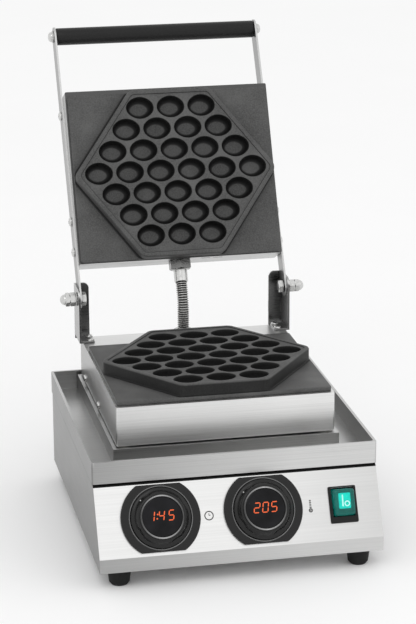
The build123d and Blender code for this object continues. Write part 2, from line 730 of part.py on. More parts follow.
# Hinge, arms and handle

BRACKET_SCREW_X = 104.0
BRACKET_SCREW_Y = (121.5, 135.0)
BRACKET_FOOT_REAR = 139.5
BRACKET_ROUND = 9.0
FLANGE_LIFT = 12.0  # the flange starts above the deck


def hinge_bracket(side):
    """Bent bracket: side plate, rear flange that stops the arm, and foot on the deck."""
    x_out = side * BRACKET_OUT
    x_in = side * BRACKET_IN
    lo = min(x_out, x_in)
    hi = max(x_out, x_in)
    rear = FLANGE_Y + BRACKET_T
    plate = block(lo, hi, BRACKET_FRONT, rear, HOUSING_TOP, BRACKET_TOP)
    corners = plate.edges().filter_by(Axis.X).sort_by(Axis.Z)[-2:].sort_by(Axis.Y)[:1]
    plate = fillet(corners, BRACKET_ROUND)
    flange = block(*sorted((x_out, side * (BRACKET_OUT - BRACKET_FLANGE_W))), FLANGE_Y, rear,
                   HOUSING_TOP + FLANGE_LIFT, BRACKET_TOP)
    inner = flange.edges().filter_by(Axis.Y).sort_by(Axis.Z)[-2:].sort_by(Axis.X)
    flange = fillet(inner[:1] if side > 0 else inner[-1:], 6)
    foot_x = side * (BRACKET_OUT - BRACKET_FOOT_W)
    sole = block(*sorted((x_out, foot_x)), BRACKET_FRONT, BRACKET_FOOT_REAR, HOUSING_TOP,
                 HOUSING_TOP + BRACKET_T)
    tip = sole.edges().filter_by(Axis.Z).sort_by(Axis.X)
    sole = fillet(tip[:2] if side > 0 else tip[-2:], 3)
    bracket = plate + flange + sole
    bracket -= along_x(lo - 1, hi + 1, HINGE_Y, HINGE_Z, PIVOT_D / 2 + RUN_FIT)
    for y in BRACKET_SCREW_Y:
        bracket -= upright(side * BRACKET_SCREW_X, y, HOUSING_TOP - 1,
                           HOUSING_TOP + BRACKET_T + 1, M4_R + RUN_FIT)
    return bracket


def bracket_screws():
    """Two screws, one behind the other, in each bracket's foot."""
    return group(pan_screw((side * BRACKET_SCREW_X, y, HOUSING_TOP + BRACKET_T), (0, 0, -1), M4_R,
                           BRACKET_T + SHEET + THREAD_BITE)
                 for side in (-1, 1) for y in BRACKET_SCREW_Y)


def pivot_bolts():
    """The two hinge bolts, heads inside the arms."""
    bolts = []
    for side in (-1, 1):
        head_in = side * (ARM_IN - SIDE_GAP - HEAD_H)
        seat = side * (ARM_IN - SIDE_GAP)
        end = side * (BRACKET_OUT + PIVOT_WASHER_T + NUT_H + 0.7 * DOME_H)
        head = hex_bar((head_in, HINGE_Y, HINGE_Z), (seat, HINGE_Y, HINGE_Z), NUT_AF)
        bolts.append(head + along_x(seat, end, HINGE_Y, HINGE_Z, PIVOT_D / 2))
    return group(bolts)


def pivot_washers():
    """Flat washers between bracket and nut."""
    rings = []
    for side in (-1, 1):
        a = side * BRACKET_OUT
        b = side * (BRACKET_OUT + PIVOT_WASHER_T)
        rings.append(along_x(a, b, HINGE_Y, HINGE_Z, 7.5)
                     - along_x(a - side, b + side, HINGE_Y, HINGE_Z, PIVOT_D / 2 + RUN_FIT))
    return group(rings)


def pivot_nuts():
    """Plain nuts that lock the hinge bolts."""
    nuts = []
    for side in (-1, 1):
        a = side * (BRACKET_OUT + PIVOT_WASHER_T)
        b = a + side * NUT_H
        nuts.append(hex_bar((a, HINGE_Y, HINGE_Z), (b, HINGE_Y, HINGE_Z), NUT_AF)
                    - along_x(a - side, b + side, HINGE_Y, HINGE_Z, PIVOT_D / 2 + RUN_FIT))
    return group(nuts)


def dome_nuts():
    """Domed cap nuts on the bolt ends."""
    caps = []
    for side in (-1, 1):
        a = side * (BRACKET_OUT + PIVOT_WASHER_T + NUT_H)
        waist = a + side * 0.45 * DOME_H
        tip = a + side * DOME_H
        cap = hex_bar((a, HINGE_Y, HINGE_Z), (waist, HINGE_Y, HINGE_Z), NUT_AF)
        dome = along_x(waist, tip, HINGE_Y, HINGE_Z, 0.46 * NUT_AF)
        dome = eased_end(dome, (tip, HINGE_Y, HINGE_Z), 4.0)
        cap += dome
        cap -= along_x(a - side, a + side * 0.75 * DOME_H, HINGE_Y, HINGE_Z,
                       PIVOT_D / 2 + RUN_FIT)
        caps.append(cap)
    return group(caps)


ARM_SCREW_Y = (79.0, 44.7, -76.0)


def arm_screw_places():
    """Screws from the arm into the lid housing, on the arm's centre line."""
    slope = ARM_ANGLE.Z / ARM_ANGLE.Y
    return [(y, HINGE_Z + (y - HINGE_Y) * slope) for y in ARM_SCREW_Y]


def arm(side):
    """Flat bar from hinge bolt to handle, round at both ends."""
    x_in = side * ARM_IN
    x_out = side * ARM_OUT
    length = ARM_ANGLE.length
    start = Plane(origin=(min(x_in, x_out), HINGE_Y, HINGE_Z), x_dir=ARM_ANGLE, z_dir=(1, 0, 0))
    bar = extrude(start * Pos(length / 2, 0) * SlotCenterToCenter(length, ARM_W), amount=ARM_T)
    bar -= along_x(x_in - side, x_out + side, HINGE_Y, HINGE_Z, PIVOT_D / 2 + RUN_FIT)
    bar -= along_x(x_in - side, x_out + side, HANDLE_Y, HANDLE_Z, ROD_D / 2 + RUN_FIT)
    for y, z in arm_screw_places():
        bar -= along_x(x_in - side, x_out + side, y, z, M5_R + RUN_FIT)
    return bar


def arm_screws():
    """Pan-head screws that hold the arms to the lid housing."""
    return group(pan_screw((side * ARM_OUT, y, z), (-side, 0, 0), M5_R, ARM_T + SHEET + THREAD_BITE)
                 for side in (-1, 1) for y, z in arm_screw_places())


def handle_grip():
    """The black sleeve between the arms."""
    half = ARM_IN - LOOSE_FIT
    grip = along_x(-half, half, HANDLE_Y, HANDLE_Z, GRIP_D / 2)
    grip = chamfer(grip.edges(), 1.2)
    return grip - along_x(-half - 1, half + 1, HANDLE_Y, HANDLE_Z, ROD_D / 2 + RUN_FIT)


def handle_rod():
    """The steel rod through grip and arms."""
    end = ARM_OUT + 4.0
    return along_x(-end, end, HANDLE_Y, HANDLE_Z, ROD_D / 2)


def handle_nuts():
    """Low domed nuts on the rod's ends."""
    nuts = []
    for side in (-1, 1):
        a = side * ARM_OUT
        tip = side * (ARM_OUT + 6.0)
        cap = along_x(a, tip, HANDLE_Y, HANDLE_Z, 6.5)
        cap = eased_end(cap, (tip, HANDLE_Y, HANDLE_Z), 2.5)
        cap -= along_x(a - side, side * (ARM_OUT + 4.2), HANDLE_Y, HANDLE_Z,
                       ROD_D / 2 + RUN_FIT)
        nuts.append(cap)
    return group(nuts)


# Conduit

def lid_fitting():
    """Hexagon and smooth sleeve that take the hose into the closed lid's back wall."""
    def at(y):
        return (0, y, CONDUIT_LID_Z)
    wall = LID_HOUSING_REAR
    piece = hex_bar(at(wall), at(wall + LID_FITTING_NUT), 22.0)
    piece += rod(at(wall + LID_FITTING_NUT), at(wall + LID_FITTING_L), HOSE_D / 2 + 1.0)
    piece += rod(at(wall - SHEET - 6), at(wall), THREAD_R)
    return piece - rod(at(wall - SHEET - 7), at(wall + LID_FITTING_L + 1), HOSE_BORE / 2)


def deck_fitting():
    """Hexagon and sleeve that take the hose down through the deck."""
    z0 = HOUSING_TOP
    piece = hex_bar((0, CONDUIT_Y, z0), (0, CONDUIT_Y, z0 + DECK_FITTING_NUT), 20.0)
    piece += upright(0, CONDUIT_Y, z0 + DECK_FITTING_NUT, z0 + DECK_FITTING_H, HOSE_D / 2 + 1.0)
    piece += upright(0, CONDUIT_Y, z0 - SHEET - 6, z0, THREAD_R)
    return piece - upright(0, CONDUIT_Y, z0 - SHEET - 7, z0 + DECK_FITTING_H + 1, HOSE_BORE / 2)


def hose_route():
    """Straight, one arc, straight: the hose's centre line from lid to deck."""
    turn = radians(LID_OPEN - 90)
    y0, z0 = opened_point(LID_HOUSING_REAR + LID_FITTING_L, CONDUIT_LID_Z)
    top = Vector(0, y0, z0)
    down = Vector(0, -sin(turn), -cos(turn))
    end_z = HOUSING_TOP + DECK_FITTING_H
    bend_start = top + down * HOSE_D
    run_y = bend_start.Y - CONDUIT_Y
    radius = run_y / (1 - cos(turn))
    bend_end = Vector(0, CONDUIT_Y, bend_start.Z - radius * sin(turn))
    end = Vector(0, CONDUIT_Y, end_z)
    print(f"hose: bend radius {radius:.1f}, last straight {bend_end.Z - end_z:.1f}")
    return top, down, bend_start, bend_end, end, radius, turn


def conduit_hose():
    """Ribbed steel hose: its ribs are a ruled loft of circles along the route."""
    top, down, bend_start, bend_end, end, radius, turn = hose_route()
    lengths = (HOSE_D, radius * turn, (bend_end - end).length)
    total = sum(lengths)
    centre = Vector(0, bend_end.Y + radius, bend_end.Z)

    def place(s):
        if s <= lengths[0]:
            return top + down * s, down
        if s <= lengths[0] + lengths[1]:
            left = turn - (s - lengths[0]) / radius
            point = centre + Vector(0, -cos(left), sin(left)) * radius
            return point, Vector(0, -sin(left), -cos(left))
        return bend_end + Vector(0, 0, -1) * (s - lengths[0] - lengths[1]), Vector(0, 0, -1)

    count = round(total / RIB_PITCH)
    pitch = total / count
    outer = HOSE_D / 2
    sections = []
    for rib in range(count):
        for share, r in ((0.0, outer - RIB_H), (0.3, outer - RIB_H), (0.45, outer), (0.85, outer)):
            point, along = place((rib + share) * pitch)
            sections.append(Plane(origin=point, x_dir=(1, 0, 0), z_dir=along)
                            * Circle(r))
    point, along = place(total)
    sections.append(Plane(origin=point, x_dir=(1, 0, 0), z_dir=along) * Circle(outer - RIB_H))
    hose = loft(sections, ruled=True)
    arc = RadiusArc(bend_start, bend_end, radius)
    if (arc @ 0.5 - centre).length > radius * 1.01:
        arc = RadiusArc(bend_start, bend_end, -radius)
    route = Wire([Line(top - down, bend_start).edge(), arc.edge(),
                  Line(bend_end, end + Vector(0, 0, -1)).edge()])
    bore = sweep(Plane(origin=top - down, z_dir=down) * Circle(HOSE_BORE / 2), path=route)
    print(f"hose: {count} ribs, length {total:.1f}")
    return hose - bore


def nodes():
    """Every sub-part under its own name."""
    yield "body_housing", body_housing()
    yield "bottom_plate", bottom_plate()
    yield "bottom_screws", bottom_screws()
    for name, (x, y) in zip(("front_left", "front_right", "rear_left", "rear_right"),
                            foot_places()):
        yield "foot_" + name, foot(x, y)
    yield "foot_screws", foot_screws()
    yield "cable_gland", cable_gland()
    yield "terminal_block", terminal_block()
    yield "control_board", control_board()
    yield "drip_tray", drip_tray()
    yield "insulating_washers", insulating_washers()
    yield "washer_screws", washer_screws()
    yield "lower_housing", lower_housing()
    yield "housing_screws", housing_screws()
    plate = baking_plate()
    yield "lower_baking_plate", plate
    yield "lower_plate_screws", plate_screws()
    yield "lower_heating_element", heating_element()
    yield "lower_clamp_bars", clamp_bars()
    yield "lower_temperature_probe", temperature_probe()
    for name, x in zip(("timer", "temperature"), KNOB_X):
        yield name + "_escutcheon", escutcheon(x)
        yield name + "_knob", knob_ring(x)
        yield name + "_display", display_module(x)
        yield name + "_window", window(x)
    yield "switch_bezel", switch_bezel()
    yield "power_rocker", power_rocker()
    yield "hinge_bracket_left", hinge_bracket(-1)
    yield "hinge_bracket_right", hinge_bracket(1)
    yield "bracket_screws", bracket_screws()
    yield "pivot_bolts", pivot_bolts()
    yield "pivot_washers", pivot_washers()
    yield "pivot_nuts", pivot_nuts()
    yield "dome_nuts", dome_nuts()
    yield "conduit_deck_fitting", deck_fitting()
    yield "conduit_hose", conduit_hose()
    yield "conduit_lid_fitting", opened(lid_fitting())
    yield "arm_left", opened(arm(-1))
    yield "arm_right", opened(arm(1))
    yield "arm_screws", opened(arm_screws())
    yield "handle_grip", opened(handle_grip())
    yield "handle_rod", opened(handle_rod())
    yield "handle_nuts", opened(handle_nuts())
    yield "lid_housing", opened(lid_housing())
    yield "upper_baking_plate", opened(mirrored_up(plate))
    yield "upper_plate_screws", opened(mirrored_up(plate_screws()))
    yield "upper_heating_element", opened(mirrored_up(heating_element()))
    yield "upper_clamp_bars", opened(mirrored_up(clamp_bars()))
    yield "upper_temperature_probe", opened(mirrored_up(temperature_probe()))


def write(name, shape):
    """Centre the footprint on the origin and write one STEP file."""
    export_step(Pos(0, -MID_Y, 0) * shape, f"parts/{name}.step")


if __name__ == "__main__":
    os.makedirs("parts", exist_ok=True)
    for node_name, node_shape in nodes():
        write(node_name, node_shape)
    print(f"hinge at y {HINGE_Y - MID_Y:.3f} z {HINGE_Z:.3f}, shift {MID_Y:.3f}")
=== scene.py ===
"""Bubble waffle maker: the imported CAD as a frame, with detailed meshes, materials, light and camera."""
import json
import bpy
import bmesh
from math import atan2, cos, pi, radians, sin, tan
from mathutils import Matrix, Vector
from mathutils.geometry import delaunay_2d_cdt


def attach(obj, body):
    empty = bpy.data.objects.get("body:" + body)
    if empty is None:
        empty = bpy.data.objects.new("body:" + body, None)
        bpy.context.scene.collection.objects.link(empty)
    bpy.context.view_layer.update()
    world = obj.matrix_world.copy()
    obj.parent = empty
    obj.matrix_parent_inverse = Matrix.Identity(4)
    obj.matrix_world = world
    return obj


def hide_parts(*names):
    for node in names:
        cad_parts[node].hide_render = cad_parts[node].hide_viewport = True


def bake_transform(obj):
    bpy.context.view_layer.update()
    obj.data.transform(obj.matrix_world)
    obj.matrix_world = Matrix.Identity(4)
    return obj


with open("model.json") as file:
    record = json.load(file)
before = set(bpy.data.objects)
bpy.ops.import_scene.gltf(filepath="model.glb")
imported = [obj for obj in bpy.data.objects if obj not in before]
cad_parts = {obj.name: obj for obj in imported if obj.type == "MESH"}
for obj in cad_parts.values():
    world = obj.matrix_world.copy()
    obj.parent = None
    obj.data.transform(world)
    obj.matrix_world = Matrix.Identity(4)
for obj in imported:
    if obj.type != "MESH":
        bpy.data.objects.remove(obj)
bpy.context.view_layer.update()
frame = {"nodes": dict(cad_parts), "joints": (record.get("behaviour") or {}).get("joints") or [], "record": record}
nodes = frame["nodes"]
scene = bpy.context.scene

# Driving dimensions as in the CAD, in millimetres and degrees
MM = 0.001
HINGE_Y = 130.9
HINGE_Z = 207.4
LID_OPEN = 115.5
BOLT_R = 4.0
BOLT_HEAD_ACROSS = 13.0
BOLT_HEAD_H = 5.2

# Cast plates
MATE_Z = 178.5
PLATE_GAP = 0.5
PLATE_W = 221.0
PLATE_FRONT = -90.8
PLATE_REAR = 94.2
PLATE_MID_Y = (PLATE_FRONT + PLATE_REAR) / 2
PLATE_T = 4.4
PLATE_CORNER = 3.0
PLATE_EDGE = 0.5
BLOCK_H = 13.3
BLOCK_W = 224.0
BLOCK_FLAT_W = 89.0
BLOCK_CORNER = 11.0
FIELD_BORDER = 5.0
FIELD_DROP = 0.8
HOUSING_TOP = MATE_Z - BLOCK_H - PLATE_T
CELL_PITCH = 34.0
ROW_PITCH = 23.56
ROW_COUNTS = (3, 4, 5, 6, 5, 4, 3)
CELL_LENGTH = 30.3
CELL_WIDTH = 24.2
CELL_END_R = 9.5
# Inset, depth and painted shade of each ring down a cell
CELL_PROFILE = ((-0.7, 0.0, 0.0), (-0.3, 0.06, 0.1), (-0.05, 0.3, 0.55), (0.1, 0.8, 0.9),
                (0.45, 3.2, 1.0), (0.9, 5.8, 1.0), (1.5, 7.6, 1.0), (2.5, 9.2, 1.0),
                (3.7, 10.2, 0.97), (4.9, 10.8, 0.85), (5.6, 11.1, 0.35), (6.2, 11.3, 0.0),
                (7.8, 11.5, 0.0))
# Inset, rise over the slab, margin to the slab's edge and painted shadow of each ring at the block's foot
BLOCK_FOOT = ((-2.6, 0.0, 0.54, 0.0), (-1.6, 0.0, 0.52, 0.8), (-0.7, 0.25, 0.5, 0.95),
              (-0.15, 0.9, 0.1, 0.9))
BLOCK_FOOT_H = 1.8
# Inset, depth under the mating face and share of the side's painted shade of each ring on the block's edge
BLOCK_EDGE = ((0.0, 1.7, 1.0), (0.2, 0.9, 0.5), (0.7, 0.25, 0.0), (1.5, 0.0, 0.0))
# Inset past the border, depth and painted shade of each ring at the sunk field
FIELD_EDGE = ((-0.35, 0.0, 0.0), (0.0, 0.25, 0.85), (0.2, FIELD_DROP - 0.1, 0.95),
              (0.45, FIELD_DROP, 0.1))

# Sloped panel
PANEL_TOP = 96.7
PANEL_TOP_Y = -140.7
BODY_FRONT = -174.8
BODY_BAND_TOP = 32.6
TRAY_BAND_BOTTOM = 98.6

# Knobs and their displays, with profile rows of steps out from a radius and heights
KNOB_X = (-79.9, 23.8)
KNOB_DROP = 36.0
BARREL_R = 21.2
KNOB_BORE_GAP = 0.08
KNOB_R = 30.2
WINDOW_R = 20.0
WINDOW_TOP = 12.2
KNOB_GRIP = ((-0.3, 1.5), (0.0, 1.8), (0.0, 4.3), (-0.3, 4.9), (-1.0, 5.35), (-2.2, 5.5), (-2.9, 5.8),
             (-3.5, 6.8), (-4.6, 8.9), (-5.6, 10.6), (-6.2, 11.35), (-7.0, 11.7), (-8.2, 11.7))
KNOB_BORE = ((0.1, 11.4), (0.0, 11.0))
BRIGHT_RING = ((0.2, 12.5), (0.3, 12.95), (0.6, 13.15), (1.0, 13.2), (1.4, 13.1), (1.7, 12.8),
               (1.75, 12.0), (1.3, 12.0))
THIN_RIM = ((0.7, 3.0), (0.8, 3.45), (1.2, 3.6), (1.7, 3.5), (2.0, 3.1))
PANE = ((-0.05, 10.7), (-0.05, 11.9), (-0.5, 12.15), (-1.5, WINDOW_TOP), (-6.0, WINDOW_TOP),
        (-WINDOW_R, WINDOW_TOP))
SCOOPS = 4
SCOOP_TURN = 0.5
SCOOP_DEPTH = 1.5
SCOOP_Z = 7.2
SCOOP_REACH = 3.2
PIN_FROM_AXIS = 26.6
PIN_ANGLE = 137
PIN_PROFILE = ((0.75, 5.0), (0.75, 7.6), (0.5, 7.95), (0.0, 8.0))
DIGIT_H = 9.6
DIGIT_SLANT = 0.17
# Bars lit for each digit, lettered clockwise from the top with g in the middle
SEGMENTS = {"0": "abcdef", "1": "bc", "2": "abged", "4": "fgbc", "5": "afgcd"}
STROKE = 1.0
STROKE_GAP = 0.25
NUMBER_Y = 1.1
COLON_R = 0.75
COLON_Y = (-2.6, 1.6)
# Piece, text, place of each character and width of a digit, for each knob's display
NUMBERS = (("number_time", "1:45", (-10.7, -5.0, -0.8, 9.0), 5.0),
           ("number_heat", "205", (-8.6, 0.0, 8.8), 5.4))
SIGN_LIFT = 0.02
SIGN_T = 0.06

# Switch
SWITCH_X = 105.7
SWITCH_DROP = 37.3
ROCKER_W = 22.0
ROCKER_L = 27.0
ROCKER_UP = 2.5
ROCKER_TILT = 8.0
ROCKER_AXIS_DEPTH = 2.0
COVER_SHIFT = 0.7
# Inset across and along, corner radius and height: first in the frame, then the soft cover over it
ROCKER_SKIRT = ((0.0, 0.0, 2.0, -2.6), (0.0, 0.0, 2.2, 1.4))
COVER_PROFILE = ((0.1, 0.1, 2.6, 3.6), (0.7, 0.7, 3.2, 5.4), (1.6, 1.6, 3.4, 6.2),
                 (2.6, 2.6, 3.2, 6.45), (3.8, 4.2, 2.6, 6.3))
CORE_OFFSET = (0.4, 1.6)
CORE_W = 11.8
CORE_L = 15.6
CORE_CORNER = 1.2
# Inset and height of each ring up the lit core
CORE_PROFILE = ((0.0, 1.6), (0.0, 4.6), (0.4, 5.0))
MARK_Z = 6.32
MARK_T = 0.1
MARK_BAR = ((-3.4, -5.4), (-1.8, -5.4), (-2.0, 6.2), (-3.2, 6.2))
MARK_RING_AT = (1.9, -2.8)
# Outer and inner radius of the mark's ring
MARK_RING_R = (2.9, 1.7)

# Signs on the panel
CLOCK_X = -31.2
CLOCK_DROP = 37.5
CLOCK_R = 4.7
CLOCK_LINE = 1.0
# Angle and length of each hand
CLOCK_HANDS = ((90, 2.4), (20, 1.7))
HAND_HALF_W = 0.3
THERMOMETER_X = 72.2
THERMOMETER_DROP = 40.6
# Outer and inner radius of the bulb's ring
BULB_R = (2.1, 1.0)
BULB_DOT_R = 0.6
# Height and half width of each bar over the bulb
STEM_BARS = ((3.1, 1.05), (5.4, 0.95), (7.6, 0.95), (9.6, 0.9))
STEM_BAR_HALF_H = 0.65

# Hinge brackets
BRACKET_T = 2.0
FLANGE_INSET = 0.1
FLANGE_REACH = 24.0
FLANGE_DROP = 4.0

# Conduit
CONDUIT_Y = 129.0
CONDUIT_LID_Z = 210.5
LID_HOUSING_REAR = 95.0
LID_NUT_ACROSS = 22.0
LID_NUT_H = 10.0
LID_FITTING_L = 24.0
DECK_NUT_ACROSS = 20.0
DECK_NUT_H = 5.0
DECK_FITTING_H = 6.5
HOSE_D = 13.0
RIB_PITCH = 2.5
RIB_H = 1.5
# Share of the pitch and share of the rib's height missing, along one rib
RIB_PROFILE = ((0.0, 1.0), (0.12, 0.9), (0.26, 0.35), (0.42, 0.04), (0.6, 0.0), (0.78, 0.3),
               (0.9, 0.85))

# Handle, nuts and screws
GRIP_BORE_R = 4.1
GRIP_ROUND = 1.5
# Inset and height of each ring at the sleeve's rounded end
GRIP_END = ((2.2, 0.0), (1.2, 0.15), (0.4, 0.6), (0.0, GRIP_ROUND))
# Step out from the nut's radius and height of each ring up a cap nut
CAP_NUT = ((0.0, 0.0), (0.0, 1.6), (-0.3, 2.0), (-0.9, 2.2), (-1.0, 3.4), (-1.7, 4.7), (-3.0, 5.6))
NUT_RING_SHARES = (0.0, 0.04, 0.08, 0.13, 0.2, 0.8, 0.87, 0.92, 0.96, 1.0)
NUT_CHAMFER_SLOPE = 1.7
DOME_WAIST_SHARE = 0.45
DOME_R_SHARE = 0.46
# Radius and height of each ring of a pan head, as shares of its radius
PAN_HEAD = ((1.0, 0.0), (1.0, 0.16), (0.97, 0.30), (0.88, 0.44), (0.72, 0.53), (0.5, 0.58),
            (0.25, 0.6), (0.0, 0.6))
PAN_HEAD_H = 0.6
# Height and half length of the head's cross at its top and its bottom
CROSS_SIZES = ((0.7, 0.5), (0.28, 0.3))
CROSS_HALF_W = 0.085

# Painted shade on the blocks' sides and in the hose's grooves, and darkening of the fittings' hexagons
LOWER_SIDE_SHADE = 0.85
UPPER_SIDE_SHADE = 0.2
GROOVE_SHADE = 0.8
FITTING_DARK = 0.75
# Rounding of the edges of carried-over nodes
SHEET_ROUND = 0.35
SMALL_ROUND = 0.3

SHIFT_Y = HINGE_Y - frame["joints"][0]["pos_m"][1] / MM
TO_FRAME = Matrix.Scale(MM, 4) @ Matrix.Translation((0, -SHIFT_Y, 0))
OPENED = (Matrix.Translation((0, HINGE_Y, HINGE_Z)) @ Matrix.Rotation(radians(-LID_OPEN), 4, "X")
          @ Matrix.Translation((0, -HINGE_Y, -HINGE_Z)))
TURNED_OVER = Matrix.Translation((0, 0, 2 * MATE_Z + PLATE_GAP)) @ Matrix.Scale(-1, 4, (0, 0, 1))


def panel_at(x, drop):
    """Millimetres on the sloped panel: X right, Y up the slope, Z straight out."""
    fall = Vector((0, BODY_FRONT - PANEL_TOP_Y, BODY_BAND_TOP - PANEL_TOP)).normalized()
    out = Vector((0, fall.z, -fall.y))
    origin = Vector((x, PANEL_TOP_Y, PANEL_TOP)) + fall * drop
    turn = Matrix((Vector((1, 0, 0)), -fall, out)).transposed().to_4x4()
    return TO_FRAME @ Matrix.Translation(origin) @ turn


# Materials

# The part of its range that a noise mostly fills
NOISE_LOW = 0.3
NOISE_HIGH = 0.7
# Object x in metres over which steel gets painted shade to the left and to the right
LEFT_FALL = (-0.15, 0.06)
RIGHT_FALL = (0.0, 0.15)


def material(name, base, metallic, roughness):
    """A principled material and the parts that its nodes are added to."""
    made = bpy.data.materials.new(name)
    made.use_nodes = True
    tree = made.node_tree
    shader = tree.nodes["Principled BSDF"]
    shader.inputs["Base Color"].default_value = (*base, 1)
    shader.inputs["Metallic"].default_value = metallic
    shader.inputs["Roughness"].default_value = roughness
    return made, tree, shader


def grey(value):
    return (value, value, value)


def scaled(colour, factor):
    """A colour times a number, at most white."""
    return tuple(min(1.0, c * factor) for c in colour)


def noise(tree, scale, detail=3.0):
    """Noise in object space, its grain stretched by scale, in waves per metre."""
    place = tree.nodes.new("ShaderNodeTexCoord")
    mapping = tree.nodes.new("ShaderNodeMapping")
    mapping.inputs["Scale"].default_value = scale
    grain = tree.nodes.new("ShaderNodeTexNoise")
    grain.inputs["Scale"].default_value = 1.0
    grain.inputs["Detail"].default_value = detail
    tree.links.new(place.outputs["Object"], mapping.inputs["Vector"])
    tree.links.new(mapping.outputs["Vector"], grain.inputs["Vector"])
    return grain.outputs["Fac"]


def axes(tree, kind):
    """The X, Y and Z sockets of the Object or Normal coordinates."""
    place = tree.nodes.new("ShaderNodeTexCoord")
    parts = tree.nodes.new("ShaderNodeSeparateXYZ")
    tree.links.new(place.outputs[kind], parts.inputs["Vector"])
    return parts.outputs


def calculated(tree, operation, first, second=None):
    """A math node on a socket and, where given, a number or another socket."""
    node = tree.nodes.new("ShaderNodeMath")
    node.operation = operation
    tree.links.new(first, node.inputs[0])
    if isinstance(second, float):
        node.inputs[1].default_value = second
    elif second is not None:
        tree.links.new(second, node.inputs[1])
    return node.outputs[0]


def stretched(tree, value, start, stop, low=0.0, high=1.0):
    """A number that goes from low to high as value goes from start to stop."""
    node = tree.nodes.new("ShaderNodeMapRange")
    node.inputs["From Min"].default_value = start
    node.inputs["From Max"].default_value = stop
    node.inputs["To Min"].default_value = low
    node.inputs["To Max"].default_value = high
    tree.links.new(value, node.inputs["Value"])
    return node.outputs["Result"]


def spread(tree, share, low, high):
    """A noise, which stays near a half, stretched to run from low to high."""
    return stretched(tree, share, NOISE_LOW, NOISE_HIGH, low, high)


def ramp(tree, share, low, high, start=NOISE_LOW, stop=NOISE_HIGH):
    """A colour that goes from low to high as share goes from start to stop."""
    node = tree.nodes.new("ShaderNodeValToRGB")
    node.color_ramp.elements[0].position = start
    node.color_ramp.elements[1].position = stop
    node.color_ramp.elements[0].color = (*low, 1)
    node.color_ramp.elements[1].color = (*high, 1)
    tree.links.new(share, node.inputs["Fac"])
    return node.outputs["Color"]


def mixed(tree, share, low, high):
    """Two number sockets mixed by share."""
    node = tree.nodes.new("ShaderNodeMix")
    tree.links.new(share, node.inputs[0])
    tree.links.new(low, node.inputs[2])
    tree.links.new(high, node.inputs[3])
    return node.outputs[0]


def colour_mix(tree, kind, first, second, share=None):
    """Two colour sockets put together, wholly or by share."""
    node = tree.nodes.new("ShaderNodeMix")
    node.data_type = "RGBA"
    node.blend_type = kind
    node.inputs[0].default_value = 1.0
    if share is not None:
        tree.links.new(share, node.inputs[0])
    tree.links.new(first, node.inputs[6])
    tree.links.new(second, node.inputs[7])
    return node.outputs[2]


def darkened(tree, colour, factor):
    """Colour times factor, both sockets."""
    return colour_mix(tree, "MULTIPLY", colour, factor)


def connect(tree, shader, colour, rough):
    """Gives the shader its colour and roughness sockets."""
    tree.links.new(colour, shader.inputs["Base Color"])
    tree.links.new(rough, shader.inputs["Roughness"])


def bump(tree, shader, height, distance, strength):
    """Fine relief of the given depth in metres."""
    node = tree.nodes.new("ShaderNodeBump")
    node.inputs["Distance"].default_value = distance
    node.inputs["Strength"].default_value = strength
    tree.links.new(height, node.inputs["Height"])
    tree.links.new(node.outputs["Normal"], shader.inputs["Normal"])


def painted_crevice_shade(tree, colour, reach, least):
    """Painted shade: colour darkened by the mesh's shade values, and down to least in corners within reach metres.
    """
    mark = tree.nodes.new("ShaderNodeAttribute")
    mark.attribute_name = "shade"
    ring_shade = ramp(tree, mark.outputs["Fac"], grey(1.0), grey(0.1), 0.0, 1.0)
    corner = tree.nodes.new("ShaderNodeAmbientOcclusion")
    corner.inputs["Distance"].default_value = reach
    corner.samples = 8
    corner_shade = ramp(tree, corner.outputs["AO"], grey(least), grey(1.0), 0.1, 0.9)
    return darkened(tree, darkened(tree, colour, ring_shade), corner_shade)


def painted_tilt_light(tree, rise, upright, sloped, level):
    """Painted light and shade by how far a face looks up: upright, sloped or level."""
    node = tree.nodes.new("ShaderNodeValToRGB")
    bar = node.color_ramp
    bar.elements[0].position = 0.18
    bar.elements[0].color = (*grey(upright), 1)
    bar.elements[1].position = 0.9
    bar.elements[1].color = (*grey(level), 1)
    for at in (0.36, 0.6):
        bar.elements.new(at).color = (*grey(sloped), 1)
    tree.links.new(rise, node.inputs["Fac"])
    return node.outputs["Color"]


def painted_light_tones(tree, upright, sloped, level, flank, left, right):
    """Painted light and shade on sheet steel: by tilt, on flanks, upright to the left and the rest to the right.
    """
    x = axes(tree, "Object")["X"]
    normal = axes(tree, "Normal")
    to_left = ramp(tree, stretched(tree, x, *LEFT_FALL), grey(left), grey(1.0), 0.0, 1.0)
    to_right = ramp(tree, stretched(tree, x, *RIGHT_FALL), grey(1.0), grey(right), 0.0, 1.0)
    looks_up = stretched(tree, normal["Z"], 0.1, 0.4)
    across = colour_mix(tree, "MIX", to_left, to_right, looks_up)
    sideways = calculated(tree, "ABSOLUTE", normal["X"])
    on_flank = ramp(tree, sideways, grey(1.0), grey(flank), 0.3, 0.8)
    tilt = painted_tilt_light(tree, normal["Z"], upright, sloped, level)
    return darkened(tree, darkened(tree, tilt, across), on_flank)


def painted_gap_shade(tree, colour, low, high):
    """Painted shade: colour made dark between two heights, as in the shadow gap under the tray."""
    height = axes(tree, "Object")["Z"]
    above = calculated(tree, "GREATER_THAN", height, low * MM)
    below = calculated(tree, "LESS_THAN", height, high * MM)
    both = calculated(tree, "MULTIPLY", above, below)
    return darkened(tree, colour, ramp(tree, both, grey(1.0), grey(0.02), 0.4, 0.6))


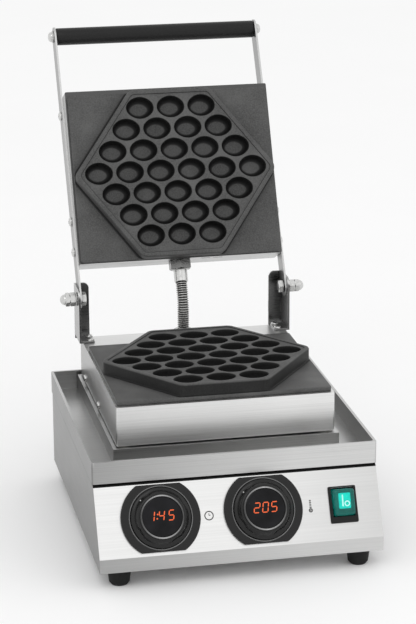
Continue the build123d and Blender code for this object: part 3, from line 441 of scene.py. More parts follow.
def brushed(name, base, roughness, contrast=0.08, upright=1.0, sloped=1.0, level=1.0, flank=0.62,
            left=1.0, right=1.0, gap_shade=None):
    """Brushed steel, streaks level on upright faces and across on level ones, with painted light and shade."""
    made, tree, shader = material(name, base, 1.0, roughness)
    upright_grain = noise(tree, (6, 6, 1500), 3)
    level_grain = noise(tree, (6, 1500, 6), 3)
    lies_level = spread(tree, axes(tree, "Normal")["Z"], 0.0, 1.0)
    streak = mixed(tree, lies_level, upright_grain, level_grain)
    cloud = noise(tree, (14, 14, 10), 2)
    colour = ramp(tree, streak, scaled(base, 1 - contrast), scaled(base, 1 + contrast))
    # Painted light and shade by each face's tilt, flank and side
    colour = darkened(tree, colour, painted_light_tones(tree, upright, sloped, level, flank, left, right))
    # Painted shade in the gap under the tray
    if gap_shade:
        colour = painted_gap_shade(tree, colour, *gap_shade)
    rough = mixed(tree, spread(tree, cloud, 0.0, 1.0),
                  spread(tree, streak, roughness - 0.04, roughness + 0.04),
                  spread(tree, streak, roughness, roughness + 0.08))
    connect(tree, shader, colour, rough)
    bump(tree, shader, streak, 0.00002, 0.08)
    return made


def polished(name, base, roughness, corner=0.08):
    """Bright fastener metal with faint wear, with painted shade down to corner in its corners and on shaded rings.
    """
    made, tree, shader = material(name, base, 1.0, roughness)
    wear = noise(tree, (420, 420, 420), 4)
    # Painted shade in corners and on the rings marked with shade values
    colour = painted_crevice_shade(tree, ramp(tree, wear, scaled(base, 0.82), base), 0.005, corner)
    connect(tree, shader, colour, spread(tree, wear, roughness - 0.04, roughness + 0.12))
    return made


def cast_coating():
    """Dark non-stick coating on cast metal: fine grain, satin sheen, painted shade in cells and corners."""
    base = (0.088, 0.088, 0.087)
    made, tree, shader = material("cast_plate_coating", base, 0.0, 0.5)
    grain = noise(tree, (750, 750, 750), 4)
    cloud = noise(tree, (28, 28, 28), 3)
    share = mixed(tree, spread(tree, cloud, 0.25, 0.6), grain, cloud)
    colour = ramp(tree, share, scaled(base, 0.6), scaled(base, 1.45))
    # Painted shade on the cell walls, the block's foot and sides, the field's edge and in corners
    connect(tree, shader, painted_crevice_shade(tree, colour, 0.006, 0.62), spread(tree, grain, 0.42, 0.58))
    shader.inputs["Specular IOR Level"].default_value = 0.12
    bump(tree, shader, grain, 0.00016, 0.45)
    return made


def plastic(name, base, roughness, grain_size, relief, coat=0.0, gloss=0.18):
    """Moulded plastic or rubber with a fine grain."""
    made, tree, shader = material(name, base, 0.0, roughness)
    grain = noise(tree, (grain_size, grain_size, grain_size), 3)
    connect(tree, shader, ramp(tree, grain, scaled(base, 0.75), scaled(base, 1.3)),
            spread(tree, grain, roughness - 0.04, roughness + 0.06))
    shader.inputs["Specular IOR Level"].default_value = gloss
    if coat:
        shader.inputs["Coat Weight"].default_value = coat
        shader.inputs["Coat Roughness"].default_value = 0.08
    bump(tree, shader, grain, relief, 0.4)
    return made


def glass_black():
    """Dark glossy window with faint depth."""
    base = (0.006, 0.006, 0.007)
    made, tree, shader = material("display_window", base, 0.0, 0.07)
    haze = noise(tree, (60, 60, 60), 2)
    connect(tree, shader, ramp(tree, haze, scaled(base, 0.6), scaled(base, 1.8)),
            spread(tree, haze, 0.05, 0.11))
    shader.inputs["Specular IOR Level"].default_value = 0.16
    return made


def glowing(name, base, glow, strength):
    """A lit sign behind or under plastic."""
    made, tree, shader = material(name, base, 0.0, 0.5)
    grain = noise(tree, (700, 700, 700), 2)
    tree.links.new(ramp(tree, grain, scaled(glow, 0.85), glow), shader.inputs["Emission Color"])
    shader.inputs["Emission Strength"].default_value = strength
    return made


def clear_green():
    """The soft clear cover of the lit switch."""
    base = (0.0, 0.34, 0.29)
    made, tree, shader = material("switch_cover", base, 0.0, 0.12)
    haze = noise(tree, (160, 160, 160), 3)
    connect(tree, shader, ramp(tree, haze, scaled(base, 0.75), scaled(base, 1.2)),
            spread(tree, haze, 0.08, 0.18))
    shader.inputs["Transmission Weight"].default_value = 0.72
    shader.inputs["IOR"].default_value = 1.4
    return made


STEEL = (0.66, 0.66, 0.655)
BLACK = (0.012, 0.012, 0.012)
# Heights of the painted shade in the gap under the tray
TRAY_GAP_SHADE = (PANEL_TOP - 1.2, TRAY_BAND_BOTTOM + 0.4)
# The upright, sloped, level, flank, left and right numbers of the steels are painted light and shade
MATERIALS = {
    "brushed_steel": brushed("brushed_steel_sheet", STEEL, 0.33, contrast=0.05, upright=0.95,
                             sloped=1.24, level=0.8, left=0.62, right=0.78, gap_shade=TRAY_GAP_SHADE),
    "tray_steel": brushed("tray_steel_sheet", STEEL, 0.30, upright=0.95, level=0.75, left=0.55),
    "cast_plate": cast_coating(),
    "bright_steel": polished("bright_fasteners", (0.68, 0.68, 0.67), 0.2),
    "conduit_steel": polished("conduit_band", (0.66, 0.655, 0.64), 0.26),
    "bracket_steel": brushed("bracket_plate", scaled(STEEL, 0.9), 0.28, contrast=0.05, upright=0.24,
                             level=0.6, flank=2.4),
    "black_plastic": plastic("black_moulding", BLACK, 0.38, 1300, 0.00004),
    "knob_plastic": plastic("knob_moulding", scaled(BLACK, 0.5), 0.24, 1600, 0.00003, 0.1, 0.3),
    "window": glass_black(),
    "rubber": plastic("foot_rubber", BLACK, 0.62, 900, 0.00008),
    "rocker_green": clear_green(),
    "heater": brushed("heater_tube", (0.34, 0.31, 0.28), 0.5, contrast=0.2),
    "ceramic": plastic("ceramic_white", (0.78, 0.76, 0.70), 0.32, 500, 0.00003),
    "circuit": plastic("circuit_board", (0.03, 0.16, 0.06), 0.45, 420, 0.00006),
    "grip": plastic("grip_sleeve", scaled(BLACK, 1.3), 0.36, 1100, 0.00005),
}
# Painted light and shade by tilt, flank and side for the lid, the lower housing and the arms
LID_STEEL = brushed("lid_steel_sheet", STEEL, 0.33, upright=0.85, sloped=0.14, level=0.5)
HOUSING_STEEL = brushed("iron_steel_sheet", STEEL, 0.33, upright=1.25, level=1.05, left=0.8)
ARM_STEEL = brushed("arm_steel_strip", STEEL, 0.33, upright=0.85, sloped=0.85, level=0.8, flank=0.6)
RING = polished("knob_bright_ring", (0.50, 0.50, 0.50), 0.16, 1.0)
RIM = polished("knob_thin_rim", (0.17, 0.17, 0.17), 0.22, 1.0)
ORANGE = glowing("lit_orange", (0.2, 0.03, 0.005), (0.92, 0.13, 0.03), 0.95)
AQUA = glowing("lit_aqua", (0.1, 0.7, 0.6), (0.35, 1.0, 0.9), 1.3)
PALE = glowing("lit_pale", (0.2, 0.5, 0.45), (0.66, 0.98, 0.9), 0.5)
PRINT = plastic("panel_print", (0.03, 0.03, 0.03), 0.5, 900, 0.00002)


def paint_node(name, finish):
    """Gives a carried-over CAD node its finish."""
    for held in nodes[name].material_slots:
        held.material = finish


def soften(name, width):
    """Rounds a CAD node's edges by width millimetres, with modifiers only."""
    node = nodes[name]
    weld = node.modifiers.new("weld", "WELD")
    weld.merge_threshold = 0.01 * MM
    flat = node.modifiers.new("flat", "DECIMATE")
    flat.decimate_type = "DISSOLVE"
    flat.angle_limit = radians(0.4)
    edge = node.modifiers.new("edge", "BEVEL")
    edge.width = width * MM
    edge.segments = 2
    edge.limit_method = "ANGLE"
    edge.angle_limit = radians(28)
    edge.use_clamp_overlap = True
    edge.harden_normals = True


# Mesh helpers, all in millimetres

def round_angles(steps):
    return [2 * pi * i / steps for i in range(steps)]


def finish_mesh(name, bm, place, body, slot_name, stands_for=(), sharp=32, finish=None):
    """Turns a bmesh into a finished piece that rides on a body."""
    bm.transform(place)
    bmesh.ops.recalc_face_normals(bm, faces=bm.faces)
    mesh = bpy.data.meshes.new(name)
    bm.to_mesh(mesh)
    bm.free()
    mesh.polygons.foreach_set("use_smooth", [True] * len(mesh.polygons))
    mesh.set_sharp_from_angle(angle=radians(sharp))
    piece = bpy.data.objects.new(name, mesh)
    scene.collection.objects.link(piece)
    mesh.materials.append(finish or MATERIALS[slot_name])
    if stands_for:
        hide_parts(*stands_for)
    if body:
        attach(piece, body)
    return piece


def skin(bm, rings, start_cap=True, end_cap=True, closed=False, dark=()):
    """Quads between rings of equal length, with flat caps; dark shades ring by ring."""
    layer = bm.verts.layers.float.get("shade") or bm.verts.layers.float.new("shade")
    rows = [[bm.verts.new(p) for p in ring] for ring in rings]
    for value, ring in zip(dark, rows):
        for vert in ring:
            vert[layer] = value
    pairs = list(zip(rows, rows[1:]))
    if closed:
        pairs.append((rows[-1], rows[0]))
    for a, b in pairs:
        for i in range(len(a)):
            j = (i + 1) % len(a)
            bm.faces.new((a[i], a[j], b[j], b[i]))
    if start_cap and not closed:
        bm.faces.new(list(reversed(rows[0])))
    if end_cap and not closed:
        bm.faces.new(rows[-1])
    return rows


def circle(radius, z, steps):
    return [Vector((radius * cos(a), radius * sin(a), z)) for a in round_angles(steps)]


def lathe(bm, profile, steps, closed=False, place=Matrix.Identity(4)):
    """A turned form: profile lists radius and height; closed makes a ring of it."""
    rings = [circle(max(r, 0.02), z, steps) for r, z in profile]
    skin(bm, [[place @ p for p in ring] for ring in rings], closed=closed)


def turned(profile, steps, closed=False, place=Matrix.Identity(4)):
    """A new bmesh of one turned form."""
    bm = bmesh.new()
    lathe(bm, profile, steps, closed, place)
    return bm


def stepped(radius, rows):
    """A profile whose radii are given as steps out from radius."""
    return [(radius + out, z) for out, z in rows]


def flat_ring(bm, outer, inner, z, thick, steps, place=Matrix.Identity(4)):
    """A thin flat ring that lies on height z."""
    top = z + thick
    lathe(bm, [(outer, z), (outer, top), (inner, top), (inner, z)], steps, closed=True, place=place)


def sheet(bm, outline, z, thick):
    """A thin flat form with the given outline."""
    skin(bm, [[Vector((x, y, height)) for x, y in outline] for height in (z, z + thick)])


def rounded_box(half_x, half_y, radius, z):
    """The ring of a rectangle with rounded corners."""
    steps = 6
    points = []
    for k, (sx, sy) in enumerate(((1, 1), (-1, 1), (-1, -1), (1, -1))):
        for i in range(steps + 1):
            a = (k + i / steps) * pi / 2
            points.append(Vector((sx * (half_x - radius) + radius * cos(a),
                                  sy * (half_y - radius) + radius * sin(a), z)))
    return points


def towards(origin, direction):
    """A frame at origin whose Z points along direction."""
    turn = Vector(direction).to_track_quat("Z", "Y").to_matrix().to_4x4()
    return Matrix.Translation(origin) @ turn


def hex_ring(apothem, limit, z):
    """A hexagon's section, cut round where the chamfer's cone is smaller."""
    ring = []
    for angle in round_angles(72):
        side = (angle + pi / 6) % (pi / 3) - pi / 6
        r = min(apothem / cos(side), limit)
        ring.append(Vector((r * cos(angle), r * sin(angle), z)))
    return ring


def hex_nut(bm, place, across, height, dark=0.0):
    """A hexagon with the turned chamfer of a real nut at both ends."""
    apothem = across / 2
    rings = []
    for share in NUT_RING_SHARES:
        z = share * height
        limit = apothem * 0.99 + min(z, height - z) * NUT_CHAMFER_SLOPE
        rings.append([place @ p for p in hex_ring(apothem, limit, z)])
    skin(bm, rings, dark=[dark] * len(rings))


def joined_verts(start):
    """All the vertices that edges join to start."""
    found = {start}
    front = [start]
    while front:
        for edge in front.pop().link_edges:
            for other in edge.verts:
                if other not in found:
                    found.add(other)
                    front.append(other)
    return found


def solids_of(name):
    """The low and high corner of each separate solid of a CAD node."""
    bm = bmesh.new()
    bm.from_mesh(nodes[name].data)
    bmesh.ops.remove_doubles(bm, verts=bm.verts, dist=0.01 * MM)
    bm.transform(TO_FRAME.inverted())
    seen = set()
    boxes = []
    for start in bm.verts:
        if start not in seen:
            solid = joined_verts(start)
            seen |= solid
            boxes.append(tuple(Vector([pick(vert.co[i] for vert in solid) for i in range(3)])
                               for pick in (min, max)))
    bm.free()
    return boxes


# Building the cast plates

def oval(inset, z, centre):
    """A cell's outline as four tangent arcs, drawn in by inset."""
    b = CELL_WIDTH / 2
    reach = CELL_LENGTH / 2 - CELL_END_R
    side_r = (reach**2 + b**2 - CELL_END_R**2) / (2 * (b - CELL_END_R))
    turn = atan2(reach, side_r - b)
    points = []
    for k, (cx, cy, r, half, steps) in enumerate((
            (reach, 0, CELL_END_R, pi / 2 - turn, 14), (0, b - side_r, side_r, turn, 10),
            (-reach, 0, CELL_END_R, pi / 2 - turn, 14), (0, side_r - b, side_r, turn, 10))):
        for i in range(steps):
            angle = k * pi / 2 - half + 2 * half * i / steps
            points.append(Vector((centre[0] + cx + (r - inset) * cos(angle),
                                  centre[1] + cy + (r - inset) * sin(angle), z)))
    return points


def corner_arc(before, here, after, radius):
    """The points of an arc that rounds the corner here."""
    to_before = (before - here).normalized()
    to_after = (after - here).normalized()
    half = to_before.angle(to_after) / 2
    middle = here + (to_before + to_after).normalized() * radius / sin(half)
    first = here + to_before * radius / tan(half) - middle
    steps = 8
    points = []
    for k in range(steps + 1):
        angle = (pi - 2 * half) * k / steps
        points.append(middle + Matrix.Rotation(angle, 2) @ first)
    return points


def hexagon(inset, z, keep_in=0.0):
    """The block's outline drawn in by inset; keep_in holds it inside the slab's edges."""
    half_y = (PLATE_REAR - PLATE_FRONT) / 2
    slope = atan2(half_y, (BLOCK_W - BLOCK_FLAT_W) / 2)
    half_x = BLOCK_W / 2 - inset / sin(slope)
    flat = BLOCK_FLAT_W / 2 - inset * tan(slope / 2)
    corners = [Vector((half_x, 0)), Vector((flat, half_y - inset)), Vector((-flat, half_y - inset))]
    corners += [-corner for corner in corners]
    radius = max(BLOCK_CORNER - inset, 2.0)
    limit_x = PLATE_W / 2 - keep_in
    limit_y = half_y - keep_in
    points = []
    for i, here in enumerate(corners):
        for p in corner_arc(corners[i - 1], here, corners[(i + 1) % 6], radius):
            x = max(-limit_x, min(limit_x, p.x))
            y = max(-limit_y, min(limit_y, p.y))
            points.append(Vector((x, PLATE_MID_Y + y, z)))
    return points


def slab_ring(inset, z):
    """The slab's outline drawn in by inset."""
    half_x = PLATE_W / 2 - inset
    half_y = (PLATE_REAR - PLATE_FRONT) / 2 - inset
    middle = Vector((0, PLATE_MID_Y, 0))
    return [middle + p for p in rounded_box(half_x, half_y, PLATE_CORNER, z)]


def fill_between(bm, outer, holes):
    """Flat triangles between an outer row of vertices and rows round its holes."""
    loops = [outer] + holes
    verts = [v for loop in loops for v in loop]
    owner = [k for k, loop in enumerate(loops) for v in loop]
    edges = []
    start = 0
    for loop in loops:
        edges += [(start + i, start + (i + 1) % len(loop)) for i in range(len(loop))]
        start += len(loop)
    flat = [Vector((v.co.x, v.co.y)) for v in verts]
    result = delaunay_2d_cdt(flat, edges, [], 0, 1e-5)
    source = [ids[0] for ids in result[3]]
    for face in result[2]:
        ids = [source[i] for i in face]
        kinds = {owner[i] for i in ids}
        inside_hole = len(kinds) == 1 and kinds != {0}
        if not inside_hole and len(set(ids)) == 3:
            bm.faces.new([verts[i] for i in ids])


def cell_centres():
    """The middles of the thirty cells, in rows that are offset by half a pitch."""
    middle = (len(ROW_COUNTS) - 1) / 2
    for row, count in enumerate(ROW_COUNTS):
        for place in range(count):
            yield (place - (count - 1) / 2) * CELL_PITCH, (row - middle) * ROW_PITCH


def cast_plate_mesh(side):
    """A plate, cells up: slab, block whose sides get painted shade of strength side, sunk field, thirty cells."""
    bm = bmesh.new()
    slab_top = MATE_Z - BLOCK_H
    small = 0.3 * PLATE_EDGE
    slab = skin(bm, [slab_ring(PLATE_EDGE, HOUSING_TOP), slab_ring(0, HOUSING_TOP + PLATE_EDGE),
                     slab_ring(0, slab_top - PLATE_EDGE), slab_ring(small, slab_top - small),
                     slab_ring(PLATE_EDGE, slab_top)], end_cap=False)
    rings = [(hexagon(inset, slab_top + rise, margin), dark)
             for inset, rise, margin, dark in BLOCK_FOOT]
    rings.append((hexagon(0, slab_top + BLOCK_FOOT_H), side))
    rings += [(hexagon(inset, MATE_Z - depth), share * side) for inset, depth, share in BLOCK_EDGE]
    rings += [(hexagon(FIELD_BORDER + inset, MATE_Z - depth), dark)
              for inset, depth, dark in FIELD_EDGE]
    block = skin(bm, [ring for ring, dark in rings], start_cap=False, end_cap=False,
                 dark=[dark for ring, dark in rings])
    fill_between(bm, slab[-1], [block[0]])
    rims = []
    for centre in cell_centres():
        cell = [oval(inset, MATE_Z - FIELD_DROP - depth, centre)
                for inset, depth, dark in CELL_PROFILE]
        rims.append(skin(bm, cell, start_cap=False, dark=[row[2] for row in CELL_PROFILE])[0])
    fill_between(bm, block[-1], rims)
    return bm


def add_plates():
    """Both cast plates from one form, the upper one turned over and swung open."""
    finish_mesh("cast_plate_lower", cast_plate_mesh(LOWER_SIDE_SHADE), TO_FRAME, "base",
                "cast_plate", ["lower_baking_plate"], sharp=40)
    finish_mesh("cast_plate_upper", cast_plate_mesh(UPPER_SIDE_SHADE),
                TO_FRAME @ OPENED @ TURNED_OVER, "lid", "cast_plate", ["upper_baking_plate"],
                sharp=40)


# Building the conduit

def hose_line(top, end):
    """The hose's length from top to end, and its point and direction at a distance from top."""
    turn = radians(LID_OPEN - 90)
    down = Vector((0, -sin(turn), -cos(turn)))
    bend_start = top + down * HOSE_D
    radius = (bend_start.y - end.y) / (1 - cos(turn))
    centre = Vector((0, end.y + radius, bend_start.z - radius * sin(turn)))
    bend_stop = HOSE_D + radius * turn

    def at(s):
        if s <= HOSE_D:
            return top + down * s, down
        if s <= bend_stop:
            left = turn - (s - HOSE_D) / radius
            return (centre + Vector((0, -cos(left), sin(left))) * radius,
                    Vector((0, -sin(left), -cos(left))))
        return Vector((0, end.y, centre.z - (s - bend_stop))), Vector((0, 0, -1))

    return bend_stop + centre.z - end.z, at


def add_hose():
    """Ribbed hose that bends between lid and deck, with painted shade between its ribs."""
    top = OPENED @ Vector((0, LID_HOUSING_REAR + LID_FITTING_L, CONDUIT_LID_Z))
    end = Vector((0, CONDUIT_Y, HOUSING_TOP + DECK_FITTING_H))
    length, at = hose_line(top, end)
    count = round(length / RIB_PITCH)
    across = Vector((1, 0, 0))
    rings = []
    dark = []
    for rib in range(count):
        for share, drop in RIB_PROFILE:
            point, along = at((rib + share) * length / count)
            up = along.cross(across)
            r = HOSE_D / 2 - RIB_H * drop
            # Painted shade deeper in each groove
            dark.append(GROOVE_SHADE * drop)
            rings.append([point + across * r * cos(a) + up * r * sin(a) for a in round_angles(48)])
    bm = bmesh.new()
    skin(bm, rings, dark=dark)
    hose = finish_mesh("ribbed_conduit", bm, TO_FRAME, None, "conduit_steel", ["conduit_hose"])
    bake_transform(hose)


def fitting(place, across, nut, length):
    """A hexagon nut with the sleeve that holds the hose."""
    bm = bmesh.new()
    hex_nut(bm, place, across, nut, dark=FITTING_DARK)
    bore = HOSE_D / 2 - 0.3
    sleeve = HOSE_D / 2 + 1.0
    collar = sleeve + 1.2
    lathe(bm, [(collar, nut - 0.2), (collar, nut + 0.3), (sleeve, nut + 0.9), (sleeve, length - 0.8),
               (sleeve - 0.4, length - 0.2), (bore, length), (bore, nut)], 64, closed=True,
          place=place)
    return bm


def add_fittings():
    """The hexagon fittings that hold the hose at the lid and at the deck."""
    at_lid = towards((0, LID_HOUSING_REAR, CONDUIT_LID_Z), (0, 1, 0))
    finish_mesh("conduit_nut_lid", fitting(at_lid, LID_NUT_ACROSS, LID_NUT_H, LID_FITTING_L),
                TO_FRAME @ OPENED, "lid", "bright_steel", ["conduit_lid_fitting"])
    at_deck = towards((0, CONDUIT_Y, HOUSING_TOP), (0, 0, 1))
    finish_mesh("conduit_nut_deck", fitting(at_deck, DECK_NUT_ACROSS, DECK_NUT_H, DECK_FITTING_H),
                TO_FRAME, "base", "bright_steel", ["conduit_deck_fitting"])


# Building the fasteners, the brackets' flanges and the handle

def linked(name, bm):
    """A plain object made from a bmesh, used only to build with."""
    mesh = bpy.data.meshes.new(name)
    bm.to_mesh(mesh)
    bm.free()
    made = bpy.data.objects.new(name, mesh)
    scene.collection.objects.link(made)
    return made


def cross_cutter():
    """Two crossed wedges that narrow downwards."""
    bm = bmesh.new()
    for turned in (True, False):
        wedge = []
        for z, half in CROSS_SIZES:
            for sx, sy in ((-1, -1), (1, -1), (1, 1), (-1, 1)):
                x = sx * half
                y = sy * CROSS_HALF_W
                wedge.append(bm.verts.new((y, x, z) if turned else (x, y, z)))
        bmesh.ops.convex_hull(bm, input=wedge)
    return linked("cross_cutter", bm)


def cross_head():
    """A pan head of radius 1 with a cross recess, as a mesh."""
    body = linked("cross_head", turned(PAN_HEAD, 48))
    tool = cross_cutter()
    cut = body.modifiers.new("cut", "BOOLEAN")
    cut.operation = "DIFFERENCE"
    cut.solver = "EXACT"
    cut.use_self = True
    cut.object = tool
    graph = bpy.context.evaluated_depsgraph_get()
    result = bpy.data.meshes.new_from_object(body.evaluated_get(graph))
    bpy.data.objects.remove(body)
    bpy.data.objects.remove(tool)
    return result


def add_screws(name, node, body, axis, head):
    """Cross-head screws in place of a CAD node of plain ones, heads outwards along axis."""
    bm = bmesh.new()
    for k, (lo, hi) in enumerate(solids_of(node)):
        seat = (lo + hi) / 2
        radius = max(hi[i] - lo[i] for i in range(3) if i != axis) / 2
        out = Vector((0, 0, 0))
        out[axis] = 1 if axis == 2 or seat[axis] > 0 else -1
        tip, crown = (lo, hi) if out[axis] > 0 else (hi, lo)
        seat[axis] = crown[axis] - out[axis] * PAN_HEAD_H * radius
        turn = Matrix.Rotation(0.7 * k + 0.3, 4, "Z")
        copy = head.copy()
        copy.transform(towards(seat, out) @ turn @ Matrix.Scale(radius, 4))
        bm.from_mesh(copy)
        bpy.data.meshes.remove(copy)
        lathe(bm, [(radius / 2, 0), (radius / 2, abs(seat[axis] - tip[axis]))], 24,
              place=towards(seat, -out))
    finish_mesh(name, bm, TO_FRAME, body, "bright_steel", [node])


def pivot_bolt(bm, place, across, length):
    hex_nut(bm, place, BOLT_HEAD_ACROSS, BOLT_HEAD_H)
    lathe(bm, [(BOLT_R, BOLT_HEAD_H - 0.2), (BOLT_R, length)], 32, place=place)


def pivot_washer(bm, place, across, length):
    bore = BOLT_R + 0.1
    r = across / 2
    lathe(bm, [(bore, 0.1), (r - 0.3, 0.0), (r, 0.3), (r, length - 0.3), (r - 0.3, length),
               (bore, length - 0.1)], 48, closed=True, place=place)


def dome_nut(bm, place, across, length):
    """A low hexagon under a quarter-round cap."""
    waist = DOME_WAIST_SHARE * length
    hex_nut(bm, place, across, waist)
    r = DOME_R_SHARE * across
    arc = [pi / 2 * i / 8 for i in range(9)]
    dome = [(r * cos(a), waist + (length - waist) * sin(a)) for a in arc]
    lathe(bm, [(r, waist - 0.3)] + dome, 48, place=place)


def outwards(lo, hi, y, z):
    """A frame that looks out along X from a solid's inner end, and the solid's length."""
    side = 1 if lo.x > 0 else -1
    inner = min(abs(lo.x), abs(hi.x))
    return towards((side * inner, y, z), (side, 0, 0)), hi.x - lo.x


def add_hinge_hardware():
    """Chamfered bolt heads, washers, nuts and domed cap nuts on the pivots."""
    for name, node, form in (("pivot_bolt_set", "pivot_bolts", pivot_bolt),
                             ("pivot_nut_set", "pivot_nuts", hex_nut),
                             ("pivot_washer_set", "pivot_washers", pivot_washer),
                             ("dome_nut_set", "dome_nuts", dome_nut)):
        bm = bmesh.new()
        for k, (lo, hi) in enumerate(solids_of(node)):
            place, length = outwards(lo, hi, HINGE_Y, HINGE_Z)
            form(bm, place @ Matrix.Rotation(0.35 + k, 4, "Z"), hi.y - lo.y, length)
        finish_mesh(name, bm, TO_FRAME, "base", "bright_steel", [node])


def add_bracket_flanges():
    """The bent flanges of the hinge brackets carried on down behind the deck screws."""
    for side in ("left", "right"):
        bracket = nodes["hinge_bracket_" + side].data
        spots = [TO_FRAME.inverted() @ v.co for v in bracket.vertices]
        rear = max(p.y for p in spots)
        flange = [p.x for p in spots if p.y > rear - 0.1]
        x0 = min(flange)
        x1 = max(flange)
        front = rear - BRACKET_T + FLANGE_INSET
        back = rear - FLANGE_INSET
        bm = bmesh.new()
        sheet(bm, [(x0, front), (x1, front), (x1, back), (x0, back)], HOUSING_TOP - FLANGE_DROP,
              FLANGE_DROP + FLANGE_REACH)
        finish_mesh("bracket_flange_" + side, bm, TO_FRAME, "base", "bracket_steel")


def add_handle():
    """The sleeve with rounded ends, and the domed nuts at the arms."""
    (lo, hi), = solids_of("handle_grip")
    middle = (lo + hi) / 2
    length = hi.x - lo.x
    r = (hi.y - lo.y) / 2
    end = [(GRIP_BORE_R, 0.2)] + [(r - inset, z) for inset, z in GRIP_END]
    steps = 26
    straight = (length - 2 * GRIP_ROUND) / steps
    profile = end + [(r, GRIP_ROUND + straight * i) for i in range(1, steps)]
    profile += [(radius, length - z) for radius, z in reversed(end)]
    place = towards((-length / 2, middle.y, middle.z), (1, 0, 0))
    finish_mesh("grip_sleeve", turned(profile, 80, True, place), TO_FRAME, "lid", "grip",
                ["handle_grip"])
    bm = bmesh.new()
    for lo, hi in solids_of("handle_nuts"):
        place, length = outwards(lo, hi, middle.y, middle.z)
        r = (hi.z - lo.z) / 2
        lathe(bm, stepped(r, CAP_NUT) + [(r - 4.6, length), (0, length)], 48, place=place)
    finish_mesh("handle_cap_nuts", bm, TO_FRAME, "lid", "bright_steel", ["handle_nuts"])


# Building the controls

def add_digit(bm, character, x, width):
    """One seven-segment digit, slanted, as thin bars with pointed ends."""
    h = DIGIT_H / 2
    w = width / 2
    bars = {"a": ((-w, h), (w, h)), "b": ((w, h), (w, 0)), "c": ((w, 0), (w, -h)),
            "d": ((-w, -h), (w, -h)), "e": ((-w, 0), (-w, -h)), "f": ((-w, h), (-w, 0)),
            "g": ((-w, 0), (w, 0))}
    for key in SEGMENTS[character]:
        start = Vector(bars[key][0])
        end = Vector(bars[key][1])
        along = (end - start).normalized()
        across = Vector((-along.y, along.x)) * STROKE / 2
        start += along * STROKE_GAP
        end -= along * STROKE_GAP
        tip = along * STROKE / 2
        outline = [start, start + tip + across, end - tip + across, end, end - tip - across,
                   start + tip - across]
        sheet(bm, [(x + p.x + DIGIT_SLANT * (p.y + NUMBER_Y), NUMBER_Y + p.y) for p in outline],
              WINDOW_TOP + SIGN_LIFT, SIGN_T)


def add_colon(bm, x):
    """Two round dots, one over the other on the digits' slant."""
    for rise in COLON_Y:
        y = NUMBER_Y + rise
        middle = x + DIGIT_SLANT * y
        sheet(bm, [(middle + COLON_R * cos(a), y + COLON_R * sin(a)) for a in round_angles(20)],
              WINDOW_TOP + SIGN_LIFT, SIGN_T)


def add_number(x, name, text, places, width):
    """The lit number in a knob's window."""
    bm = bmesh.new()
    for character, place in zip(text, places):
        if character == ":":
            add_colon(bm, place)
        else:
            add_digit(bm, character, place, width)
    finish_mesh(name, bm, panel_at(x, KNOB_DROP), "base", "window", finish=ORANGE)


def knob_ring():
    """Turned knob ring whose grip has four scoops."""
    inner = BARREL_R + KNOB_BORE_GAP
    profile = [(inner, 1.6)] + stepped(KNOB_R, KNOB_GRIP) + stepped(inner, KNOB_BORE)
    rings = []
    for r, z in profile:
        near = max(0.0, 1 - abs(z - SCOOP_Z) / SCOOP_REACH) if r > inner + 1 else 0.0
        ring = []
        for a in round_angles(160):
            scoop = max(0.0, cos(SCOOPS * (a - SCOOP_TURN))) ** 6
            reach = r - SCOOP_DEPTH * scoop * near
            ring.append(Vector((reach * cos(a), reach * sin(a), z)))
        rings.append(ring)
    bm = bmesh.new()
    skin(bm, rings, closed=True)
    return bm


def bright_ring():
    """Polished ring round the window, with painted shade towards its left and right."""
    bm = turned(stepped(WINDOW_R, BRIGHT_RING), 96, closed=True)
    layer = bm.verts.layers.float.get("shade")
    for vert in bm.verts:
        vert[layer] = 0.9 * (abs(vert.co.x) / vert.co.xy.length) ** 0.8
    return bm


def add_knob(name, x, body):
    """Knob ring with its pin, the bright inner ring, the thin rim and the dark window."""
    place = panel_at(x, KNOB_DROP)
    finish_mesh(name + "_ring", knob_ring(), place, body, "knob_plastic", [name + "_knob"], sharp=50)
    angle = radians(PIN_ANGLE)
    spot = Matrix.Translation((PIN_FROM_AXIS * cos(angle), PIN_FROM_AXIS * sin(angle), 0))
    finish_mesh(name + "_pin", turned(PIN_PROFILE, 24, place=spot), place, body, "bright_steel")
    finish_mesh(name + "_bright_ring", bright_ring(), place, "base", "knob_plastic", finish=RING)
    finish_mesh(name + "_rim", turned(stepped(KNOB_R, THIN_RIM), 120, closed=True), place, "base",
                "knob_plastic", finish=RIM)
    finish_mesh(name + "_pane", turned(stepped(WINDOW_R, PANE), 96), place, "base", "window",
                [name + "_window"])


def add_clock_sign():
    """A plain clock, a thin print on the panel."""
    bm = bmesh.new()
    flat_ring(bm, CLOCK_R, CLOCK_R - CLOCK_LINE, SIGN_LIFT, SIGN_T, 72)
    for angle, length in CLOCK_HANDS:
        a = radians(angle)
        along = Vector((cos(a), sin(a)))
        across = Vector((-along.y, along.x)) * HAND_HALF_W
        tip = along * length
        sheet(bm, [-across, tip - across, tip + across, across], SIGN_LIFT, SIGN_T)
    finish_mesh("clock_sign", bm, panel_at(CLOCK_X, CLOCK_DROP), "base", "black_plastic",
                finish=PRINT)


def add_thermometer_sign():
    """A plain thermometer of a ring, a dot and four bars."""
    bm = bmesh.new()
    flat_ring(bm, *BULB_R, SIGN_LIFT, SIGN_T, 40)
    lathe(bm, [(BULB_DOT_R, SIGN_LIFT), (BULB_DOT_R, SIGN_LIFT + SIGN_T)], 20)
    for y, half in STEM_BARS:
        low = y - STEM_BAR_HALF_H
        high = y + STEM_BAR_HALF_H
        sheet(bm, [(-half, low), (half, low), (half, high), (-half, high)], SIGN_LIFT, SIGN_T)
    finish_mesh("thermometer_sign", bm, panel_at(THERMOMETER_X, THERMOMETER_DROP), "base",
                "black_plastic", finish=PRINT)


def cover_ring(inset_x, inset_y, radius, z, shift=0.0):
    """A ring of the switch cover, moved sideways by shift."""
    ring = rounded_box(ROCKER_W / 2 - inset_x, ROCKER_L / 2 - inset_y, radius, z)
    return [p + Vector((shift, 0, 0)) for p in ring]


